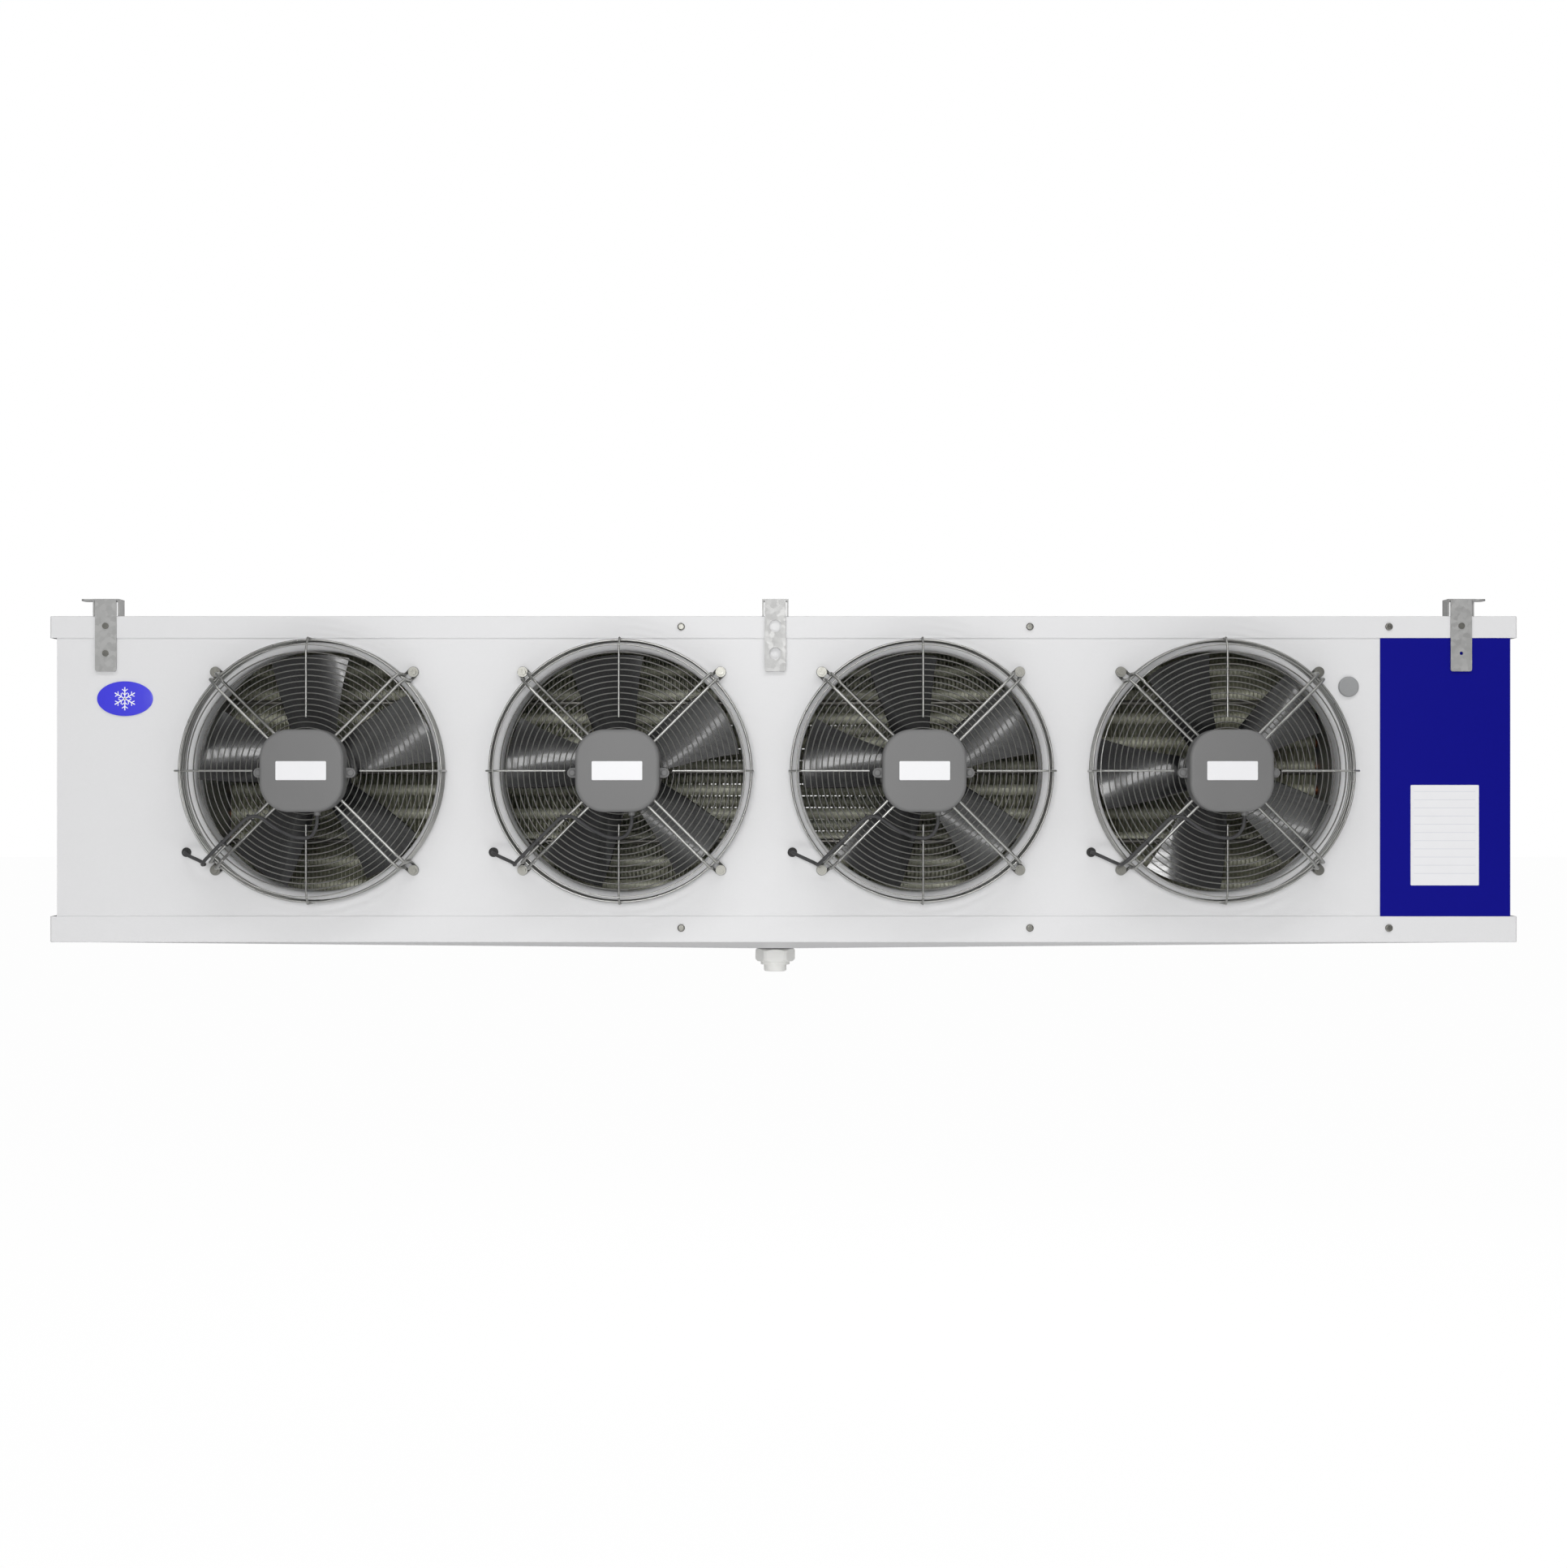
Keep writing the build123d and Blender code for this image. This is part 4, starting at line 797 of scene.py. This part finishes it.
class COOLER_OT_badges(bpy.types.Operator):
    """Badges with a plain snow crystal, and label film"""
    bl_idname = "cooler.badges"
    bl_label = "Badges and labels"

    def execute(self, context):
        labels = context.scene.cooler_labels
        resin = domed_resin("blue resin", tuple(labels.resin))
        for node in ("badge", "end_badges"):
            smooth_copy(node, f"{node}_domed", resin, "casing")
        dress(label_film("label film", labels), "motor_labels")
        dress(label_film("ruled label film", labels, "nameplate"), "nameplate")
        self.crystals(context.scene.cooler_crystals, print_ink("white print", tuple(labels.ink)))
        return {"FINISHED"}

    def crystals(self, sizes, ink):
        """A snow crystal on the front badge and on the badge of each end."""
        low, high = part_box("badge")
        end_low, end_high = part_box("end_badges")
        middle, end_middle = (low + high) / 2, (end_low + end_high) / 2
        for name, place, turn, arm in (
                ("badge_crystal", (middle.x, low.y, middle.z), 0.0, sizes.arm),
                ("left_crystal", (end_low.x, end_middle.y, end_middle.z), -pi / 2, sizes.end_arm),
                ("right_crystal", (end_high.x, end_middle.y, end_middle.z), pi / 2, sizes.end_arm)):
            made = self.crystal(name, place, turn, arm, sizes, ink)
            finish_piece(made, "casing", slot_of("nameplate"))

    def crystal(self, name, place, turn, arm, sizes, ink):
        """Flat bars: arms all round, each with pairs of twigs."""
        tree = Tree(name, {"Place": place, "Turn": turn, "Arm": arm, "Thickness": sizes.thickness,
                           "Arms": sizes.arms, "Pairs": sizes.pairs})
        reach, thick, pairs = tree.input("Arm"), tree.input("Thickness"), tree.input("Pairs")
        bar = self.bar(tree, reach, reach * sizes.arm_width, thick)
        twig = self.bar(tree, reach * sizes.twig_length, reach * sizes.twig_width,
                        thick * sizes.twig_thickness)
        first = tree.vector(z=reach * sizes.twig_start)
        step = tree.vector(z=reach * sizes.twig_run / pairs)
        forks = [tree.copies(tree.line(pairs, first, step), twig, rotation=(0, lean, 0))
                 for lean in (-sizes.twig_angle, sizes.twig_angle)]
        limb = tree.joined(bar, *forks)
        arms = tree.input("Arms")
        around = tree.vector(y=tree.index() * (2 * pi) / arms)
        star = tree.copies(tree.line(arms), limb, rotation=around)
        placed = tree.placed(star, Translation=tree.input("Place"),
                             Rotation=tree.vector(z=tree.input("Turn")))
        return tree.grow(name, placed, ink, smooth=False)

    def bar(self, tree, long, wide, thick):
        """An upright bar that starts at the middle of the crystal."""
        return tree.placed(tree.cuboid(wide, thick, long), Translation=tree.vector(z=long / 2))


# Coil

class COOLER_OT_coil(bpy.types.Operator):
    """True fins with their collars in place of the plain fin block, and the pipework"""
    bl_idname = "cooler.coil"
    bl_label = "Coil"

    def execute(self, context):
        sizes = context.scene.cooler_coil
        tones = context.scene.cooler_metals
        metal = fin_metal("fin aluminium", tuple(tones.fins), sizes.fin_pitch)
        finish_piece(self.fins(sizes, metal), "casing", "fin_aluminium", "coil_fins")
        copper = drawn_copper("copper tube", tuple(tones.copper))
        dress(copper, "coil_tubes")
        for node in ("return_bends", "suction_header"):
            smooth_copy(node, f"{node}_brazed", copper, "casing")
        brass = drawn_copper("brass", tuple(tones.brass))
        smooth_copy("liquid_distributor", "liquid_distributor_turned", brass, "casing")
        dress(turned_steel("heater steel", tuple(tones.heaters)), "defrost_heaters")
        return {"FINISHED"}

    def fins(self, sizes, metal):
        """Fins along the coil, and a collar round each tube of its staggered rows."""
        low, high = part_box("coil_fins")
        tree = Tree("fin pack", {
            "Fins": int((high.x - low.x) / sizes.fin_pitch) + 1,
            "Pitch": sizes.fin_pitch, "Wall": sizes.fin_wall,
            "Low": tuple(low), "Size": tuple(high - low),
            "Tubes": sizes.tubes, "Rows": sizes.rows, "Tube Pitch": sizes.tube_pitch,
            "Row Pitch": sizes.row_pitch, "Collar Radius": sizes.collar_radius})
        long, deep, tall = tree.split(tree.input("Size"))
        low_x, low_y, low_z = tree.split(tree.input("Low"))
        middle_y, middle_z = low_y + deep / 2, low_z + tall / 2
        wall = tree.input("Wall")
        points = tree.line(tree.input("Fins"), tree.vector(low_x + wall / 2, middle_y, middle_z),
                           tree.vector(tree.input("Pitch")))
        plates = tree.copies(points, tree.cuboid(wall, deep, tall))
        index, tubes, pitch = tree.index(), tree.input("Tubes"), tree.input("Tube Pitch")
        nudge = 0.001  # keeps a whole quotient from rounding down
        row = (index / tubes + nudge).floor()
        stagger = ((row % 2) - 0.5) * pitch / 2
        z = middle_z + (index - row * tubes - (tubes - 1) / 2) * pitch + stagger
        y = low_y + (row + 0.5) * tree.input("Row Pitch")
        places = tree.moved(tree.line(tubes * tree.input("Rows")), tree.vector(low_x, y, z))
        run = tree.node("GeometryNodeCurvePrimitiveLine", {
            "Start": (0, 0, 0), "End": tree.vector(long)})
        collars = tree.copies(places, tree.tube(run, tree.input("Collar Radius"), sides=20))
        return tree.grow("coil_fin_pack", tree.joined(plates, collars), metal, smooth=False)


# Fans

def arc_points(before, corner, after, radius):
    """Points of the arc that rounds a corner."""
    steps = 5
    into = (before - corner).normalized()
    out = (after - corner).normalized()
    half = into.angle(out) / 2
    reach = radius / tan(half)
    centre = corner + (into + out).normalized() * (radius / sin(half))
    first, last = corner + into * reach - centre, corner + out * reach - centre
    return [centre + first.slerp(last, k / steps) * radius for k in range(steps + 1)]


def rounded(points, radius):
    """A path along straight runs, with every corner rounded."""
    points = [Vector(point) for point in points]
    path = [points[0]]
    for before, corner, after in zip(points, points[1:], points[2:]):
        path += arc_points(before, corner, after, radius)
    return path + [points[-1]]


def curve_object(name, path):
    data = bpy.data.curves.new(name, "CURVE")
    data.dimensions = "3D"
    run = data.splines.new("POLY")
    run.points.add(len(path) - 1)
    for point, place in zip(run.points, path):
        point.co = (*place, 1)
    return link(name, data)


class COOLER_OT_guards(bpy.types.Operator):
    """Welded wire guards: rings, single spokes and double struts"""
    bl_idname = "cooler.guards"
    bl_label = "Guards"

    def execute(self, context):
        sizes = context.scene.cooler_guards
        tones = context.scene.cooler_fans
        bright = zinc_wire("bright wire", tuple(tones.wire))
        # Darker copy of the frame's zinc for the face rings: painted shade, with a rougher surface.
        shaded_ring_zinc = zinc_wire("dulled wire", tuple(tones.ring), roughness=0.42)
        side = sizes.side + sizes.edge_wire - sizes.side_weld
        spoke = self.spoke_path(sizes, side + sizes.spoke_wire)
        strut = self.strut_path(sizes, side + sizes.strut_wire)
        for number, (_, axis) in enumerate(fan_axes(), 1):
            cage = self.cage(number, axis, sizes, spoke, strut, bright)
            finish_piece(cage, "casing", "guard_wire", f"guard_{number}")
            finish_piece(self.face(number, axis, sizes, shaded_ring_zinc), "casing", "guard_wire")
        for helper in (spoke, strut):
            bpy.data.objects.remove(helper)
        return {"FINISHED"}

    def spoke_path(self, sizes, side):
        """From the third face ring out, over the shoulder and down the side."""
        ahead = sizes.front - sizes.strut_wire + sizes.spoke_wire
        start = sizes.inner + 2 * (sizes.outer - sizes.inner) / (sizes.face_rings - 1)
        foot = sizes.edge_wire + sizes.gap
        profile = ((start - sizes.spoke_wire, ahead), (sizes.outer + sizes.bend, ahead),
                   (side, ahead - 2 * sizes.bend), (side, foot))
        return curve_object("spoke path", rounded([(r, -y, 0) for r, y in profile], sizes.bend))

    def strut_path(self, sizes, side):
        """A hairpin: out over the shoulder to the lug, round its screw and back."""
        foot = sizes.strut_wire + sizes.gap
        profile = ((sizes.strut_start, sizes.front), (sizes.outer + sizes.bend, sizes.front),
                   (side, sizes.front - 2 * sizes.bend), (side, foot), (sizes.lug, foot))
        half = sizes.strut_half
        out = [(r, -y, half) for r, y in profile]
        home = [(r, -y, -half) for r, y in reversed(profile)]
        steps = 8
        loop = [(sizes.lug + half * sin(k * pi / steps), -foot, half * cos(k * pi / steps))
                for k in range(1, steps)]
        path = rounded(out, sizes.bend) + loop + rounded(home, sizes.bend)
        crisp = 0.02 * MM  # bend radius that leaves the path as it is
        return curve_object("strut path", rounded(path, crisp))

    def face(self, number, axis, sizes, wire):
        """Flat rings across a guard's front."""
        tree = Tree(f"guard face {number}", {
            "Place": tuple(axis), "Rings": sizes.face_rings, "Wire": sizes.ring_wire,
            "Front": sizes.front - sizes.strut_wire - sizes.ring_wire + sizes.ring_weld,
            "Inner": sizes.inner, "Outer": sizes.outer})
        rings, inner = tree.input("Rings"), tree.input("Inner")
        step = (tree.input("Outer") - inner) / (rings - 1)
        face = self.ring_stack(tree, rings, inner + tree.index() * step, -tree.input("Front"),
                               tree.input("Wire"))
        placed = tree.placed(face, Translation=tree.input("Place"))
        return tree.grow(f"guard_rings_{number}", placed, wire)

    def cage(self, number, axis, sizes, spoke, strut, wire):
        """Struts, spokes and the rings round a guard's edge."""
        tree = Tree(f"guard cage {number}", {
            "Place": tuple(axis), "Shoulder": sizes.shoulder, "Side": sizes.side,
            "Front": sizes.front - sizes.strut_wire - sizes.ring_wire,
            "Corner": sizes.corner, "Gap": sizes.gap,
            "Ring Wire": sizes.ring_wire, "Edge Wire": sizes.edge_wire,
            "Spoke Wire": sizes.spoke_wire, "Strut Wire": sizes.strut_wire,
            "Side Rings": sizes.side_rings, "Spoke": spoke, "Strut": strut})
        front, edge = tree.input("Front"), tree.input("Edge Wire")
        shoulder = self.ring_stack(tree, 1, tree.input("Shoulder"), -front,
                                   tree.input("Ring Wire"))
        step = (front - tree.input("Corner")) / tree.input("Side Rings")
        ahead = edge + tree.input("Gap") + tree.index() * step
        sides = self.ring_stack(tree, tree.input("Side Rings"), tree.input("Side"), -ahead, edge)
        spokes = self.round_axis(tree, "Spoke", 0, sides=8)
        struts = self.round_axis(tree, "Strut", pi / 4, sides=10)
        wires = tree.joined(shoulder, sides, spokes, struts)
        placed = tree.placed(wires, Translation=tree.input("Place"))
        return tree.grow(f"wire_guard_{number}", placed, wire)

    def ring_stack(self, tree, count, radius, y, wire):
        """Wire rings round Y, each of its own radius and at its own depth."""
        points = tree.moved(tree.line(count), tree.vector(y=y))
        upright = tree.placed(tree.circle(sides=96), Rotation=(pi / 2, 0, 0))
        scale = tree.vector(radius, radius, radius)
        return tree.tube(tree.copies(points, upright, scale=scale), wire, sides=8)

    def round_axis(self, tree, label, start, sides):
        """Wires along a path, spaced evenly round Y."""
        wires = 4
        path = tree.node("GeometryNodeObjectInfo", {"Object": tree.input(label)}, out="Geometry")
        turn = -(tree.index() * (2 * pi / wires) + start)
        copies = tree.copies(tree.line(wires), path, rotation=tree.vector(y=turn))
        return tree.tube(copies, tree.input(f"{label} Wire"), sides)


class COOLER_OT_fans(bpy.types.Operator):
    """Motors, impellers, leads and ties"""
    bl_idname = "cooler.fans"
    bl_label = "Fans"

    def execute(self, context):
        tones = context.scene.cooler_fans
        cap = lacquer("cap lacquer", tuple(tones.cap), roughness=0.42)
        iron = lacquer("motor lacquer", tuple(tones.body), roughness=0.38, peel=0.1 * MM)
        black = lacquer("rotor lacquer", tuple(tones.rotor), roughness=0.34)
        blade = gloss_blade("blade gloss", tuple(tones.blade))
        sheath = rubber("lead sheath", tuple(tones.lead))
        band = moulded_plastic("tie plastic", tuple(tones.tie))
        dress(turned_steel("ground steel", tuple(tones.bearing)), "motor_bearings")
        for number, (body, axis) in enumerate(fan_axes(), 1):
            ties = self.ties(number, axis, context.scene.cooler_ties, band)
            finish_piece(ties, "casing", slot_of("lead_grommets"))
            smooth_copy(f"motor_cap_{number}", f"cap_{number}", cap, "casing")
            smooth_copy(f"stator_{number}", f"motor_body_{number}", iron, "casing")
            smooth_copy(f"motor_lead_{number}", f"lead_{number}", sheath, "casing")
            smooth_copy(f"rotor_{number}", f"rotor_can_{number}", black, body)
            smooth_copy(f"impeller_{number}", f"blades_{number}", blade, body, crease=40)
        return {"FINISHED"}

    def ties(self, number, axis, sizes, band):
        """Flat ties that hold a motor's lead to the strut beside it."""
        along = Vector((cos(sizes.turn), 0, sin(sizes.turn)))
        across = Vector((sin(sizes.turn), 0, -cos(sizes.turn)))
        ahead = Vector((0, -1, 0))
        long_axis = (across + ahead).normalized()
        short_axis = along.cross(long_axis)
        turn = Matrix((long_axis, short_axis, along)).transposed().to_euler()
        first = axis + along * sizes.first + across * sizes.across + ahead * sizes.ahead
        tree = Tree(f"ties {number}", {
            "Ties": sizes.ties, "First": tuple(first), "Step": tuple(along * sizes.step),
            "Turn": tuple(turn), "Long": sizes.long, "Wide": sizes.wide,
            "Band": sizes.band, "Wall": sizes.wall})
        loop = tree.placed(tree.circle(sides=28),
                           Scale=tree.vector(tree.input("Long"), tree.input("Wide"), 1))
        section = tree.node("GeometryNodeCurvePrimitiveQuadrilateral", {
            "Width": tree.input("Wall"), "Height": tree.input("Band")})
        points = tree.line(tree.input("Ties"), tree.input("First"), tree.input("Step"))
        placed = tree.copies(points, tree.strip(loop, section), rotation=tree.input("Turn"))
        return tree.grow(f"lead_ties_{number}", placed, band, smooth=False)


class COOLER_PT_panel(bpy.types.Panel):
    """Buttons and values of the dressing"""
    bl_idname = "COOLER_PT_panel"
    bl_label = "Unit Cooler"
    bl_space_type = "VIEW_3D"
    bl_region_type = "UI"
    bl_category = "Unit Cooler"

    def draw(self, context):
        for name, group in GROUPS.items():
            box = self.layout.box()
            for field in group.__annotations__:
                box.prop(getattr(context.scene, name), field)
        for operator in OPERATORS:
            self.layout.operator(operator.bl_idname)


OPERATORS = (COOLER_OT_stage, COOLER_OT_casing, COOLER_OT_badges, COOLER_OT_coil,
             COOLER_OT_guards, COOLER_OT_fans)
CLASSES = (*GROUPS.values(), *OPERATORS, COOLER_PT_panel)


def register():
    for made in CLASSES:
        bpy.utils.register_class(made)
    for name, group in GROUPS.items():
        setattr(bpy.types.Scene, name, bpy.props.PointerProperty(type=group))


def unregister():
    for name in GROUPS:
        delattr(bpy.types.Scene, name)
    for made in reversed(CLASSES):
        bpy.utils.unregister_class(made)


def main():
    register()
    bpy.ops.cooler.stage()
    bpy.ops.cooler.casing()
    bpy.ops.cooler.badges()
    bpy.ops.cooler.coil()
    bpy.ops.cooler.guards()
    bpy.ops.cooler.fans()


if __name__ == "__main__":
    main()
